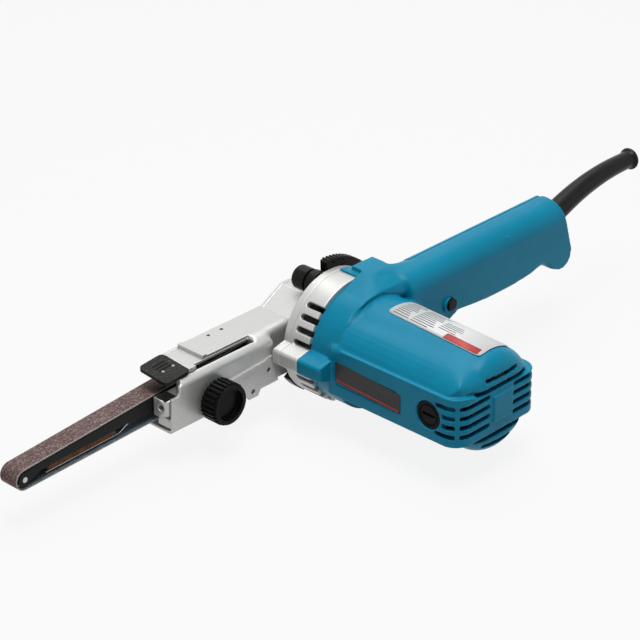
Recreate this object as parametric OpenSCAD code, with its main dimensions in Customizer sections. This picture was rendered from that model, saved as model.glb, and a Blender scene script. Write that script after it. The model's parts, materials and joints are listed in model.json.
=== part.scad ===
// Power file: a narrow abrasive belt on a swivelling arm, driven straight from the
// shaft of a motor that lies across an in-line grip.
// Origin: centre of the flat pad on the motor's rear end, on the motor axis.
// +X runs towards the grip, +Y along the motor axis towards the belt arm, +Z up.

/* [Motor housing] */
// Outside radius of the barrel at its rear end
barrel_r_rear = 28; // [27:0.5:30]
// Outside radius of the barrel where it meets the collar
barrel_r_front = 30; // [29:0.5:32]
// Length of the barrel, from its rear face to the collar
barrel_len = 84.8; // [82:0.1:95]
// Rounding of the barrel's rear edge
barrel_round = 11; // [8:0.5:12]
// Outside radius of the collar in front of the barrel
collar_r = 33; // [32.5:0.1:34]
// Length of the collar
collar_len = 17.5; // [14:0.5:20]
// Distance from the motor axis to the band's flat on the free side
band_near_w = 33.8; // [32.6:0.1:35]
// Distance from the motor axis to the band's flat on the grip's side
band_far_w = 29.8; // [29.6:0.1:31]
// Height of the flat-sided band
band_h = 27.4; // [25:0.2:29]
// Corner radius of the band, seen from above
band_corner = 10; // [7:0.5:12]
// Bulge of the flank between the barrel and the band's upper edge
flank_rise = 3.6; // [3:0.1:4]
// Wall thickness of the plastic shells
shell_t = 2.4; // [2:0.1:3]
// Side of the square pad on the rear face
pad_side = 14; // [12:0.5:18]
// Height of the pad above the rear face
pad_t = 1.2; // [0.8:0.1:2]
// Height of one cooling slot
vent_h = 2.6; // [2:0.1:3]
// Distance from one cooling slot to the next
vent_pitch = 5.4; // [5:0.1:6]

/* [Fan end] */
// Outside radius of the silver fan housing and bearing cover
ring_r = 35; // [34.5:0.1:36]
// Wall thickness of the fan housing
ring_t = 3; // [2:0.1:3.5]
// Length of the fan housing
fan_len = 12.8; // [12:0.1:18]
// Thickness of the bearing cover
cover_t = 4.7; // [4:0.1:7]
// Distance of the screws in the three lugs from the motor axis
lug_reach = 37.5; // [37:0.1:39]
// Distance from the motor axis to the outer face of a lug
lug_out = 43.2; // [43:0.1:45]
// Half the width of a lug at its root
lug_half = 6.4; // [6.2:0.1:7.5]
// Rounding of a lug's outer corners
lug_round = 2.6; // [2:0.1:3]
// Radius of the screws that hold the front of the motor together
screw_r = 2; // [1.5:0.1:2.5]
// Width of one slot in the fan housing
fan_slot_w = 3.2; // [2:0.1:3.6]
// Outside radius of the spigot that the arm swivels on
spigot_r = 15; // [14:0.1:17]

/* [Motor inside] */
// Radius of the armature shaft
shaft_r = 4; // [3.5:0.1:4.5]
// Radius of the shaft's rear journal
journal_r = 3.5; // [3:0.1:3.9]
// Outside radius of the rear bearing
rear_brg_r = 9.5; // [9:0.1:11]
// Width of the rear bearing
rear_brg_w = 6; // [5:0.1:7]
// Outside radius of the front bearing
front_brg_r = 11; // [10:0.1:12]
// Width of the front bearing
front_brg_w = 7; // [6:0.1:8]
// Radius of the armature core
core_r = 16.6; // [15:0.1:17.5]
// Length of the armature core
core_len = 34; // [28:0.5:38]
// Air gap between armature core and stator
air_gap = 0.8; // [0.5:0.1:1.2]
// Radius of the commutator
comm_r = 11; // [9:0.1:12]
// Length of the commutator
comm_len = 14; // [12:0.1:16]
// Outside radius of the fan
fan_r = 28.5; // [26:0.1:29.5]
// Number of fan blades
fan_blades = 11; // [7:1:15]
// Distance of the brushes from the barrel's rear face
brush_at = 20; // [18:0.1:22]
// Radius of a brush cap
cap_r = 7.6; // [7:0.1:8.5]

/* [Grip] */
// Width of the grip
grip_w = 25; // [24:0.5:30]
// How far the grip's near face stands behind the collar
grip_lead = 6; // [4:0.5:8]
// Width of the near half of the grip
near_half_w = 17; // [14.5:0.5:18]
// Height of the grip's top above the motor axis
grip_top = 36.5; // [34:0.5:40]
// Height of the grip's underside above the motor axis
grip_low = 3; // [0:0.5:5]
// Distance from the motor axis to the top of the grip's end
grip_end = 144; // [140:0.5:165]
// How far the foot of the end leans out past its top
end_lean = 8.5; // [5:0.5:12]
// Depth of the finger hook below the grip's underside
hook_drop = 6.8; // [4:0.1:10]
// Rounding of the grip's upper edges
grip_round_top = 11; // [8:0.5:12]
// Rounding of the grip's lower edges
grip_round_low = 3; // [2.5:0.5:6]
// Depth of the swell under the palm
palm_swell = 2.4; // [1.5:0.1:5]
// Distance from the motor axis to the trigger's centre
trigger_x = 49; // [48:0.5:51]
// Width of the trigger
trigger_w = 9; // [7:0.5:10]
// Radius of the lock-on button
button_r = 3.4; // [3:0.1:4.5]

/* [Cord guard] */
// Outside radius of the rubber cord guard
guard_r = 5.7; // [5:0.1:6.5]
// Radius of the guard's bore
guard_bore_r = 3.6; // [3:0.1:4]
// Radius of the guard's bend
guard_bend = 150; // [120:5:200]
// Angle that the guard bends through
guard_angle = 27; // [24:1:30]
// Length of the guard's straight mouth
guard_mouth = 12; // [8:0.5:20]
// Radius of the lip at the guard's mouth
guard_lip_r = 6.6; // [6.2:0.1:7.5]

/* [Arm] */
// Gap between the bearing cover and the arm's near wall
arm_gap = 1.6; // [1.4:0.1:3]
// Distance from the motor axis to the mouth of the arm housing
arm_mouth = 113.5; // [110:0.5:118]
// Height of the arm housing's top above the motor axis
arm_top = 10.3; // [10.3:0.1:12]
// Depth of the arm housing's underside below the motor axis
arm_bot = 18.8; // [17.5:0.1:20]
// Wall thickness of the arm housing
arm_t = 1.6; // [1.2:0.1:2]
// Outside radius of the arm housing round the pulley
drum_r = 18.8; // [18.5:0.1:21]
// Distance from the motor axis to the foot of the ramp on the arm housing
ramp_x = 22; // [20.5:0.5:25]
// Rounding of the arm housing's near upper edge
arm_round = 4.5; // [3:0.5:6]
// Distance from the arm's near wall to the belt
belt_inset = 11.4; // [11:0.1:14]
// Gap between the belt's far edge and the side cover
belt_side_gap = 2.6; // [2.6:0.1:5]
// Thickness of the belt side cover
side_cover_t = 2; // [1.5:0.1:3]
// Width of the slot in the arm housing's top
slot_w = 4.6; // [4:0.1:5]
// Distance from the near wall to the slot
slot_inset = 3.6; // [3:0.1:4]
// Radius of the tracking knob
knob_r = 11.6; // [10:0.1:13]
// Length of the tracking knob
knob_len = 10.6; // [8:0.1:12]
// Distance from the arm's mouth back to the tracking knob
knob_back = 29; // [26:0.5:32]
// Depth of the tracking knob below the motor axis
knob_drop = 8; // [7:0.1:9]
// Travel of the tension slide
slide_travel = 6; // [3:0.5:8]
// Outside radius of the lock ring
lock_r = 26; // [24:0.5:28]
// Thickness of the lock ring
lock_t = 5; // [4:0.1:6]
// Radius of the lock ring's thumb pad
thumb_r = 39; // [37:0.5:39.5]

/* [Belt] */
// Width of the abrasive belt
belt_w = 12.2; // [11.5:0.1:16]
// Thickness of the abrasive belt
belt_t = 0.9; // [0.6:0.1:1.1]
// Radius of the drive pulley
pulley_r = 9; // [8.5:0.1:9.2]
// Radius of the nose roller
roller_r = 4.6; // [4:0.1:5]
// Distance from the motor axis to the nose roller
nose_reach = 202; // [192:0.5:212]
// Drop of the nose roller below the motor axis
nose_drop = 10.8; // [10:0.1:11.4]
// Radius of the nose pin
pin_r = 1.5; // [1.2:0.1:1.8]

/* [Fits] */
// Radial clearance of a shaft or pin that turns or slides in its bore
run_fit = 0.05; // [0.03:0.01:0.08]
// Clearance between fixed parts that are seated in each other
seat_fit = 0.05; // [0.02:0.01:0.1]
// Clearance between parts that move past each other
move_gap = 0.4; // [0.3:0.05:0.6]
// Gap between the belt and what it runs round
belt_clear = 0.25; // [0.2:0.01:0.3]

/* [Hidden] */
$fn = 64;

blue = "#0f7fa6";
silver = "#c9cbcb";
black = "#1d1d1f";
steel = "#9a9da1";
brass = "#b5934c";
copper = "#a8643c";

// Stations along the motor axis
y_rear = pad_t;
y_in = y_rear + shell_t;
y_step = y_rear + barrel_len;
y_joint = y_step + collar_len;
y_cover = y_joint + fan_len;
y_face = y_cover + cover_t;
y_arm = y_face + arm_gap;
y_belt = y_arm + belt_inset;
y_side = y_belt + belt_w + belt_side_gap;
y_arm_end = y_side + side_cover_t;

// Inside of the barrel
cavity_r = barrel_r_rear - shell_t;
cavity_round = max(barrel_round - shell_t, 1);
fan_cavity_r = collar_r - 3;
baffle_t = 1.6;
y_baffle = y_joint - 6;
y_comm = y_rear + brush_at - comm_len / 2;
y_brush = y_rear + brush_at;
winding_len = 8;
y_core = y_comm + comm_len + winding_len + 2;
y_core_end = y_core + core_len;
stator_r = cavity_r - seat_fit;
stator_in = core_r + air_gap;
coil_r = (stator_r + stator_in) / 2;
coil_wire_r = (stator_r - stator_in) / 2 - 1.4;
y_far_band = y_brush + 22;
vent_strip = 4.1;
vent_wrap = 1.5;
// Upper edge of the band across the rear end
lip_top = band_h / 2 - 3.4;
dip_x = 10;
dip_from = 8;
ledge_w = 1.8;
flank_x = 9;
flank_z = barrel_r_rear - 2.5;
flank_groove = 0.6;
cap_deep = 4.2;
cap_sink = 0.7;
holder_r = 6;
brush_len = 8.5;

// Fan and front bearing
y_brg = y_face - 0.9 - front_brg_w;
y_fan = y_joint + 1.5;
y_fan_end = y_brg - 1.2;
fan_hub_r = 9;
y_slot_end = y_cover - 1.9;
lug_angles = [180, 300, 40];
lug_len = 16;
lug_tip = 2.2;
// The third screw goes in from the front, where the grip covers its lug's rear end
rear_lugs = [0, 1];
front_lug = 2;
screw_head_r = screw_r + 1.6;
screw_head_t = 2.8;
screw_seat = y_joint - 11;
front_seat = y_face - screw_head_t - 0.2;
shoulder_x = 9;
shoulder_w = 7.5;
shoulder_end = shoulder_x + shoulder_w + 5;
shoulder_top = collar_r + 7.2;
y_shoulder = y_joint + 7;

// Swivel
lock_gap = 0.3;
y_lock = y_face + lock_gap;
y_lock_end = y_lock + lock_t;
y_wall = y_lock_end + move_gap;
wall_len = 3;
y_wall_end = y_wall + wall_len;
clip_t = 1;
clip_gap = 0.2;
y_clip = y_wall_end + clip_gap;
y_spigot = y_clip + clip_t + 0.6;
clip_depth = 1.2;
lock_recess_r = thumb_r + 1.6;

// Tension slide and the rib that its spring pushes on
slide_x0 = arm_mouth + 2.5;
slide_x1 = arm_mouth - 37.5;
spring_min = 17;
rib_x = max(slide_x1 - slide_travel - spring_min, lock_recess_r + 3);
rib_t = 2;

// Arm outline
arm_root = 5;
top_x = 6.5;
arm_in_bot = arm_bot - arm_t;
arm_in_top = arm_top - arm_t;
arm_in = y_arm + arm_t;
y_slot = y_arm + slot_inset;
slot_end = rib_x - 1.7;
step_x = arm_mouth - 30;
plate_t = 1.4;
lip_w = 3;
lip_up = 0.7;
knob_x = arm_mouth - knob_back;
side_plate_x = arm_mouth - 40;
side_plate_end = lock_recess_r + 2.2;
side_plate_len = side_plate_x - side_plate_end;
side_plate_top = 2;
side_plate_low = arm_bot - 3.8;
side_plate_foot = 0.8;
side_rib_h = 2.4;
side_rib_t = 0.9;
cover_x = arm_mouth - 16;
notch_z = 1.8;
notch_r = 2;
notch_len = 5.5;

// Belt loop in the plane of the arm: centre of the nose roller and the run normals
nose = [-sqrt(nose_reach * nose_reach - nose_drop * nose_drop), -nose_drop];
loop_phi = 180 + asin(nose_drop / nose_reach);
loop_beta = acos((pulley_r - roller_r) / nose_reach);
top_n = [cos(loop_phi - loop_beta), sin(loop_phi - loop_beta)];
low_n = [cos(loop_phi + loop_beta), sin(loop_phi + loop_beta)];

// Belt arm
bar_side_gap = 0.3;
y_bar = y_belt + bar_side_gap;
y_bar_end = y_belt + belt_w - bar_side_gap;
bar_top_off = -0.2;
bar_low_off = -5.1;
pad_thick = 3.7;
pad_lead = 17;
pad_len = 43;
leaf_t = 0.4;
leaf_inset = 1.6;
leaf_tip = 2;
leaf_bend = 4;
leaf_rise = 8;
leaf_foot = 5;
fork_t = 1.8;
y_roller = y_bar + fork_t + 0.2;
y_roller_end = y_bar_end - fork_t - 0.2;

// Front of the slide, its post and the tab on it
bar_back = slide_x1 - 4;
lip_back = 3;
lip_h = 5.2;
jaw_gap = 1.2;
jaw_len = 10;
jaw_hole_r = 1.6;
jaw_hole_in = 4.2;
slide_y0 = arm_in + move_gap;
slide_z0 = -arm_in_bot + 1.2;
slide_z1 = 0.5;
post_x0 = arm_mouth - 10.5;
post_x1 = arm_mouth - 19.5;
tab_gap = 0.7;
tab_t = 1.7;
tab_x0 = arm_mouth + 2;
tab_x1 = arm_mouth - 15;
tab_near = 1.7;
tab_far = 3.5;
tab_z = arm_top + tab_gap;
spring_z = -4;
spring_r = 3.4;
spring_wire = 0.45;
guide_r = 2.2;

// Grip
y_grip = y_step - grip_lead;
y_grip_end = y_grip + grip_w;
y_seam = y_grip + near_half_w;
y_mid = y_grip + grip_w / 2;
grip_in = y_grip + shell_t;
grip_out = y_grip_end - shell_t;
grip_root = 20;
cover_root = ring_r + 1.5;
cavity_root = ring_r + 3;
grip_foot = grip_end + end_lean;
end_slope = end_lean / (grip_top - grip_low - 4);
neck_low = 14;
trigger_half = 8.3;
trigger_drop = 16;
swell_x0 = trigger_x + 9;
swell_x1 = grip_end - 17;
trigger_top = grip_low + 1.5;
y_trigger = y_mid - trigger_w / 2;
button_z = trigger_top + 5.6;
button_x = trigger_x + 1;
button_proud = 2.5;
flange_t = 1;
switch_gap = 0.2;
switch_over = 1.4;
switch_len = 44;
switch_back = 3;
switch_z = button_z + button_r + switch_over;
switch_h = grip_top - grip_round_top - switch_z;
switch_x0 = trigger_x - switch_back;
switch_x1 = switch_x0 + switch_len;
boss_r = 3.4;
boss_edge = 8;
boss_end = 10;
grip_screw_r = 1.5;
grip_head_r = 2.8;
grip_head_t = 1.8;
grip_head_deep = 3.6;
grip_screw_at = [
    [switch_x0 - boss_r - switch_gap, switch_z + boss_edge],
    [switch_x1 + boss_edge, grip_low + boss_edge],
    [switch_x1 + boss_edge, grip_top - boss_edge],
    [grip_end - boss_end, grip_low + boss_edge]
];
clamp_back = 24;
clamp_low = 8;
clamp_span = 16;
clamp_half = 3.5;
clamp_x = grip_end - clamp_back;
clamp_z = [grip_low + clamp_low, grip_low + clamp_low + clamp_span];
clamp_boss = 6.6;
clamp_t = 2.4;
clamp_screw_r = 1.4;

// Cord guard: centre of its bend, in the middle plane of the grip
guard_top = grip_top - 1.5;
bend_x = grip_end - 4 + guard_bend * sin(guard_angle);
bend_z = guard_top - guard_bend;
guard_flange_r = 7.5;

// Plates
plate_len = 42;
plate_back = 1.4;
plate_y1 = y_step - plate_back;
plate_y0 = plate_y1 - plate_len;
plate_top_rear = 4.2;
plate_low_rear = 6.8;
plate_top_front = 5;
plate_low_front = 4.9;
plate_sink = 0.4;
plate_proud = 0.2;
plate_gap = 0.15;
label_back = 11;
label_front = 12;
label_y0 = y_rear + label_back;
label_y1 = y_step - label_front;
label_t = 0.3;

// Points of an arc from angle a0 to a1
function arc(c, r, a0, a1, n = 8) =
    [for (i = [0:n]) [c[0] + r * cos(a0 + (a1 - a0) * i / n), c[1] + r * sin(a0 + (a1 - a0) * i / n)]];

// Corner of an outline, rounded if it has a radius
function corner(x, y, r, a0) =
    let (k = r * sqrt(2))
    r > 0 ? arc([x + k * cos(a0 + 45), y + k * sin(a0 + 45)], r, a0 + 180, a0 + 270) : [[x, y]];

// Outline of a box with its own radius at each corner: low left, low right, top right, top left
function round_box(x0, x1, y0, y1, r) = concat(
    corner(x0, y0, r[0], 0), corner(x1, y0, r[1], 90),
    corner(x1, y1, r[2], 180), corner(x0, y1, r[3], 270));

// Outline of the belt loop, a given distance outside the pulley and the roller
function loop(off) = concat(
    arc([0, 0], pulley_r + off, loop_phi + loop_beta - 360, loop_phi - loop_beta, 24),
    arc(nose, roller_r + off, loop_phi - loop_beta, loop_phi + loop_beta, 24));

// Height of the upper and lower run at a place along the arm
function run_top(x, off) = (pulley_r + off - top_n[0] * x) / top_n[1];
function run_low(x, off) = (pulley_r + off - low_n[0] * x) / low_n[1];

// Radius of the barrel at a station
function barrel_at(y) =
    barrel_r_rear + (barrel_r_front - barrel_r_rear)
        * (y - y_rear - barrel_round) / (barrel_len - barrel_round);

// Distance to the band's flat on one side: -1 is the free side, 1 the grip's side
function side_w(s) = s < 0 ? band_near_w : band_far_w;

// Arc that joins two points and bulges to the left of the way from the first to the second
function bow(p, q, rise, n = 8) =
    let (d = q - p, half = norm(d) / 2, r = (half * half + rise * rise) / (2 * rise),
        m = (p + q) / 2, c = m - (r - rise) * [-d[1], d[0]] / norm(d),
        a = atan2(p[1] - c[1], p[0] - c[0]), turn = 2 * asin(half / r))
    arc(c, r, a, a - turn, n);

function lug_pos(i) = [lug_reach * cos(lug_angles[i]), lug_reach * sin(lug_angles[i])];

module prism_y(y0, y1) {
    translate([0, y1, 0]) rotate([90, 0, 0]) linear_extrude(y1 - y0) children();
}

module prism_x(x0, x1) {
    translate([x0, 0, 0]) rotate([90, 0, 90]) linear_extrude(x1 - x0) children();
}

module rod_y(r, y0, y1, x = 0, z = 0) {
    translate([x, y1, z]) rotate([90, 0, 0]) cylinder(r = r, h = y1 - y0);
}

module rod_x(r, x0, x1, y = 0, z = 0) {
    translate([x0, y, z]) rotate([0, 90, 0]) cylinder(r = r, h = x1 - x0);
}

module rod_z(r, z0, z1, x = 0, y = 0) {
    translate([x, y, z0]) cylinder(r = r, h = z1 - z0);
}

module ring_y(ro, ri, y0, y1, x = 0, z = 0) {
    difference() {
        rod_y(ro, y0, y1, x, z);
        rod_y(ri, y0 - 1, y1 + 1, x, z);
    }
}

module block(x0, x1, y0, y1, z0, z1) {
    translate([x0, y0, z0]) cube([x1 - x0, y1 - y0, z1 - z0]);
}

// Turns a profile of (radius, station) points round the motor axis, from angle a0 on
module turn_y(angle = 360, a0 = 0) {
    rotate([0, -a0, 0]) rotate([-90, 0, 0]) rotate([0, 0, -angle])
        rotate_extrude(angle = angle) children();
}

module flip(s) {
    mirror([s < 0 ? 1 : 0, 0, 0]) children();
}

// One unbroken helix of round wire along +Z
module coil(mean_r, wire_r, turns, length) {
    sides = 6;
    steps = 10;
    n = turns * steps;
    rise = length - 2 * wire_r;
    points = [for (i = [0:n]) for (j = [0:sides - 1])
        let (a = 360 * i / steps, b = 360 * j / sides, r = mean_r + wire_r * cos(b))
        [r * cos(a), r * sin(a), wire_r + rise * i / n + wire_r * sin(b)]];
    walls = [for (i = [0:n - 1]) for (j = [0:sides - 1]) for (k = [0:1])
        let (a = i * sides + j, b = i * sides + (j + 1) % sides)
        k == 0 ? [a, b, b + sides] : [a, b + sides, a + sides]];
    near_end = [[for (j = [0:sides - 1]) sides - 1 - j]];
    far_end = [[for (j = [0:sides - 1]) n * sides + j]];
    polyhedron(points, concat(walls, near_end, far_end));
}

// Screw along the motor axis: its head stands head_t beyond the seat, with a cross recess
module screw_y(r, head_r, head_t, y_seat, y_tip, x, z) {
    y_end = y_seat + head_t;
    y_slot = y_end - head_t * 0.45;
    w = head_r * 0.62;
    difference() {
        union() {
            rod_y(head_r, min(y_seat, y_end), max(y_seat, y_end), x, z);
            rod_y(r, min(y_seat, y_tip), max(y_seat, y_tip), x, z);
        }
        block(x - w, x + w, min(y_slot, y_end + head_t), max(y_slot, y_end + head_t), z - 0.4, z + 0.4);
        block(x - 0.4, x + 0.4, min(y_slot, y_end + head_t), max(y_slot, y_end + head_t), z - w, z + w);
    }
}

module barrel_solid() {
    turn_y() polygon(concat(
        [[0, y_rear]],
        arc([barrel_r_rear - barrel_round, y_rear + barrel_round], barrel_round, 270, 360),
        [[barrel_r_front, y_step], [collar_r, y_step], [collar_r, y_joint], [0, y_joint]]));
}

module barrel_cavity() {
    turn_y() polygon(concat(
        [[0, y_in]],
        arc([cavity_r - cavity_round, y_in + cavity_round], cavity_round, 270, 360),
        [[cavity_r, y_baffle], [fan_cavity_r, y_baffle], [fan_cavity_r, y_joint + 1], [0, y_joint + 1]]));
}

// Flat-sided band, drawn in by a wall thickness for its hollow
module band(inset, y_near, y_far) {
    h = band_h - 2 * inset;
    r = max(band_corner - inset, 0.5);
    near = band_near_w - inset;
    far = band_far_w - inset;
    intersection() {
        translate([0, 0, -h / 2]) linear_extrude(h)
            polygon(concat(
                corner(-near, y_rear + inset, r, 0), corner(far, y_rear + inset, r, 90),
                [[far, y_far], [0, y_far], [0, y_near], [-near, y_near]]));
        // The upper edge dips from the free side to the middle
        prism_y(0, y_step + 5)
            polygon([[-near - 1, -band_h], [far + 1, -band_h], [far + 1, lip_top - inset],
                [-dip_x, lip_top - inset], [-near + dip_from, h / 2], [-near - 1, h / 2]]);
    }
}

// Upper flank on the free side, from the barrel out to the band's edge
module flank() {
    sink = 4.5;
    dome = 15;
    edge = [-band_near_w + ledge_w, band_h / 2];
    intersection() {
        prism_y(y_rear + 2, y_step - flank_groove)
            polygon(concat(
                [[-flank_x, edge[1] - sink], [edge[0], edge[1] - sink]],
                bow(edge, [-flank_x, flank_z], flank_rise)));
        linear_extrude(barrel_r_front)
            polygon(concat(
                corner(edge[0] - 1, y_rear + 1, band_corner + 4, 0),
                [[1, y_rear + 1], [1, y_step], [edge[0] - 1, y_step]]));
        prism_x(edge[0] - 1, 1)
            polygon(concat(
                [[y_rear + 3, 0]],
                arc([y_rear + 3 + dome, edge[1] - 2], dome, 180, 90),
                [[y_step, edge[1] - 2 + dome], [y_step, 0]]));
    }
}

module rear_vents() {
    half_rows = [vent_pitch / 2, vent_pitch * 1.5];
    for (row = half_rows, up = [-1, 1], s = [-1, 1]) {
        z0 = row * up - vent_h / 2;
        edge = s < 0 ? band_near_w - vent_strip : band_far_w - vent_wrap;
        flip(s) block(pad_side / 2 + 2, edge, -1, y_in + 5, z0, z0 + vent_h);
    }
    // The free side has slots of its own beside the brush cap
    for (row = half_rows, up = [-1, 1]) {
        z0 = row * up - vent_h / 2;
        reach = brush_at - sqrt(pow(cap_r + 1.6, 2) - row * row);
        block(-band_near_w - 1, -band_near_w + shell_t + 3, y_rear + vent_strip, y_rear + reach,
            z0, z0 + vent_h);
    }
    for (up = [-1, 1]) {
        z1 = up * ((up > 0 ? lip_top : band_h / 2) + 0.2 + vent_h / 2);
        z2 = z1 + up * vent_pitch;
        block(-19.5, 19.5, -1, y_in + 3, z1 - vent_h / 2, z1 + vent_h / 2);
        block(-12, 12, -1, y_in + 4, z2 - vent_h / 2, z2 + vent_h / 2);
    }
}

// Outline of the swell under the palm, drawn in by a wall thickness for its hollow
function swell(inset) =
    let (half = (swell_x1 - swell_x0) / 2, r = (half * half + palm_swell * palm_swell) / (2 * palm_swell),
        c = [(swell_x0 + swell_x1) / 2, grip_low + r - palm_swell],
        a = asin(half / r) * (inset > 0 ? 0.8 : 1),
        low = arc(c, r - inset, 270 - a, 270 + a, 12), z = grip_low + grip_round_low + inset)
    concat(low, [[low[12][0], z], [low[0][0], z]]);

module grip_solid() {
    intersection() {
        prism_x(grip_root, grip_foot + 1)
            polygon(round_box(y_grip, y_grip_end, grip_low, grip_top,
                [grip_round_low, grip_round_low, grip_round_top, grip_round_top]));
        prism_y(y_grip - 1, y_grip_end + 1)
            polygon([[0, 0], [grip_foot, 0], [grip_foot, grip_low + 4], [grip_end, grip_top],
                [grip_end - end_slope * 2, grip_top + 2], [0, grip_top + 2]]);
    }
    // Finger hook at the foot of the end
    prism_y(y_grip, y_grip_end)
        polygon(concat(
            [[grip_end - 16, grip_low + 8], [grip_end - 15, grip_low + 1], [grip_end - 8, grip_low - 4]],
            arc([grip_foot - 8, grip_low - hook_drop + 8], 8, 250, 360, 10),
            [[grip_foot, grip_low + 4]]));
    prism_y(y_grip, y_grip_end) polygon(swell(0));
    // Neck that carries the trigger
    prism_y(y_grip, y_grip_end)
        polygon([[grip_root + 4, grip_low + 9], [trigger_x + 13, grip_low + 9],
            [trigger_x + 11, grip_low + 2], [trigger_x + 1.5, grip_low - 2],
            [trigger_x - 4, grip_low - 9], [trigger_x - 15, -neck_low + 2], [grip_root + 4, -neck_low]]);
}

module grip_cavity() {
    low = max(grip_round_low - shell_t, 1);
    top = max(grip_round_top - shell_t, 1);
    lean = shell_t * 1.1;
    intersection() {
        prism_x(cavity_root, grip_foot)
            polygon(round_box(grip_in, grip_out, grip_low + shell_t, grip_top - shell_t,
                [low, low, top, top]));
        prism_y(y_grip, y_grip_end)
            polygon([[0, 0], [grip_foot - lean, 0], [grip_foot - lean, grip_low + 4],
                [grip_end - lean, grip_top], [0, grip_top]]);
    }
    prism_y(grip_in, grip_out) polygon(swell(shell_t));
    prism_y(grip_in, grip_out)
        polygon([[cavity_root, grip_low + 12], [trigger_x + 9.5, grip_low + 12],
            [trigger_x + 9, grip_low + 3.4], [trigger_x, grip_low], [trigger_x - 5.5, grip_low - 7],
            [cavity_root, -neck_low + 5]]);
}

// The part of the grip that is moulded with the far cover
module far_region() {
    block(cover_root, grip_foot + 60, y_seam, y_grip_end + 20, -60, 80);
}

module near_region() {
    block(-80, grip_foot + 60, y_grip - 20, y_seam, -60, 80);
    block(-80, cover_root - seat_fit, y_seam - 1, y_joint, -60, 80);
}

module trigger_slot() {
    block(trigger_x - trigger_half - move_gap, trigger_x + trigger_half + move_gap,
        y_trigger - move_gap, y_trigger + trigger_w + move_gap, -40, trigger_top + 1);
}

// Bent part of the cord guard, swept as a rod or as a tube
module guard_bend_solid(r, a0, a1) {
    guard_bend_tube(r, 0, a0, a1);
}

module guard_bend_tube(ro, ri, a0, a1) {
    translate([bend_x, y_mid, bend_z]) rotate([90, 0, 0]) rotate([0, 0, 90 + a0])
        rotate_extrude(angle = a1 - a0) translate([guard_bend, 0]) difference() {
            circle(r = ro);
            if (ri > 0) circle(r = ri);
        }
}

module grip_bosses(y0, y1) {
    for (p = grip_screw_at)
        rod_y(boss_r, y0, y1, p[0], p[1]);
}

// Screw lug, from a root inside the wall that carries it
module lug(i, root, y0, y1) {
    rotate([0, -lug_angles[i], 0]) prism_y(y0, y1)
        polygon(concat(
            [[root, -lug_half]],
            arc([lug_out - lug_round, -lug_tip], lug_round, -60, 0, 4),
            arc([lug_out - lug_round, lug_tip], lug_round, 0, 60, 4),
            [[root, lug_half]]));
}

module lug_bore(i, r, y0, y1) {
    p = lug_pos(i);
    rod_y(r, y0, y1, p[0], p[1]);
}

// Shoulder on top of the collar, running over the fan housing
module shoulder() {
    difference() {
        intersection() {
            prism_y(y_step, y_shoulder)
                polygon([[shoulder_x, collar_r - 6], [shoulder_x, shoulder_top],
                    [shoulder_x + shoulder_w, shoulder_top],
                    [shoulder_end, grip_top - 1], [shoulder_end, collar_r - 14], [12, collar_r - 14]]);
            prism_x(0, 40)
                polygon([[y_step, 0], [y_step, collar_r - 1], [y_joint - 7, shoulder_top],
                    [y_shoulder, shoulder_top], [y_shoulder, 0]]);
        }
        rod_y(ring_r + seat_fit, y_joint, y_shoulder + 1);
        block(0, 40, y_joint, y_shoulder + 1, 0, collar_r - 1);
    }
}

module motor_housing() {
    color(blue) difference() {
        union() {
            difference() {
                union() {
                    barrel_solid();
                    band(0, y_step + 4, y_far_band);
                    flank();
                    block(-pad_side / 2, pad_side / 2, 0, y_rear + 1, -pad_side / 2, pad_side / 2);
                    intersection() {
                        grip_solid();
                        near_region();
                    }
                    for (i = [0:2])
                        lug(i, collar_r - 2, y_joint - lug_len, y_joint);
                    shoulder();
                    // Tongue over the top of the fan housing
                    turn_y(26, 60) polygon([[collar_r - 2, y_joint - 2], [ring_r + 1.3, y_joint - 2],
                        [ring_r + 1.3, y_cover - 0.6], [ring_r + seat_fit, y_cover - 0.6],
                        [ring_r + seat_fit, y_joint], [collar_r - 2, y_joint]]);
                }
                barrel_cavity();
                band(shell_t, y_core - 4, y_core - 4);
                intersection() {
                    grip_cavity();
                    near_region();
                }
            }
            rod_y(rear_brg_r + 2.5, y_in - 1, y_in + rear_brg_w);
            for (s = [-1, 1])
                flip(s) rod_x(cap_r + 1.6, cavity_r - 4, side_w(s) - 1, y_brush);
            grip_bosses(grip_in - 1, y_seam);
            for (z = clamp_z)
                rod_y(boss_r, grip_in - 1, grip_in + clamp_boss, clamp_x, z);
        }
        rear_vents();
        rod_y(rear_brg_r + seat_fit, y_in, y_in + rear_brg_w + 1);
        for (s = [-1, 1])
            flip(s) {
                rod_x(cap_r + 0.3, side_w(s) - cap_deep, side_w(s) + 1, y_brush);
                rod_x(holder_r + seat_fit, cavity_r - 8, side_w(s) - cap_deep + 0.2, y_brush);
            }
        for (i = rear_lugs) {
            lug_bore(i, screw_head_r + 0.4, y_joint - lug_len - 8, screw_seat);
            lug_bore(i, screw_r + 0.2, screw_seat - 1, y_joint + 1);
        }
        lug_bore(front_lug, screw_r + seat_fit, y_joint - lug_len + 3, y_joint + 1);
        rod_y(button_r + run_fit, y_grip - 1, grip_in + 1, button_x, button_z);
        trigger_slot();
        guard_bend_solid(guard_r + seat_fit, 0, guard_angle - 2);
        for (p = grip_screw_at)
            rod_y(grip_screw_r + seat_fit, grip_in + 1, y_seam + 1, p[0], p[1]);
        for (z = clamp_z)
            rod_y(clamp_screw_r + seat_fit, grip_in + 0.6, grip_in + clamp_boss + 1, clamp_x, z);
        block(-band_near_w - 1, -band_near_w + plate_sink, plate_y0 - plate_gap, plate_y1 + plate_gap,
            -plate_low_rear - plate_gap, plate_top_front + plate_gap);
    }
}

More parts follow.
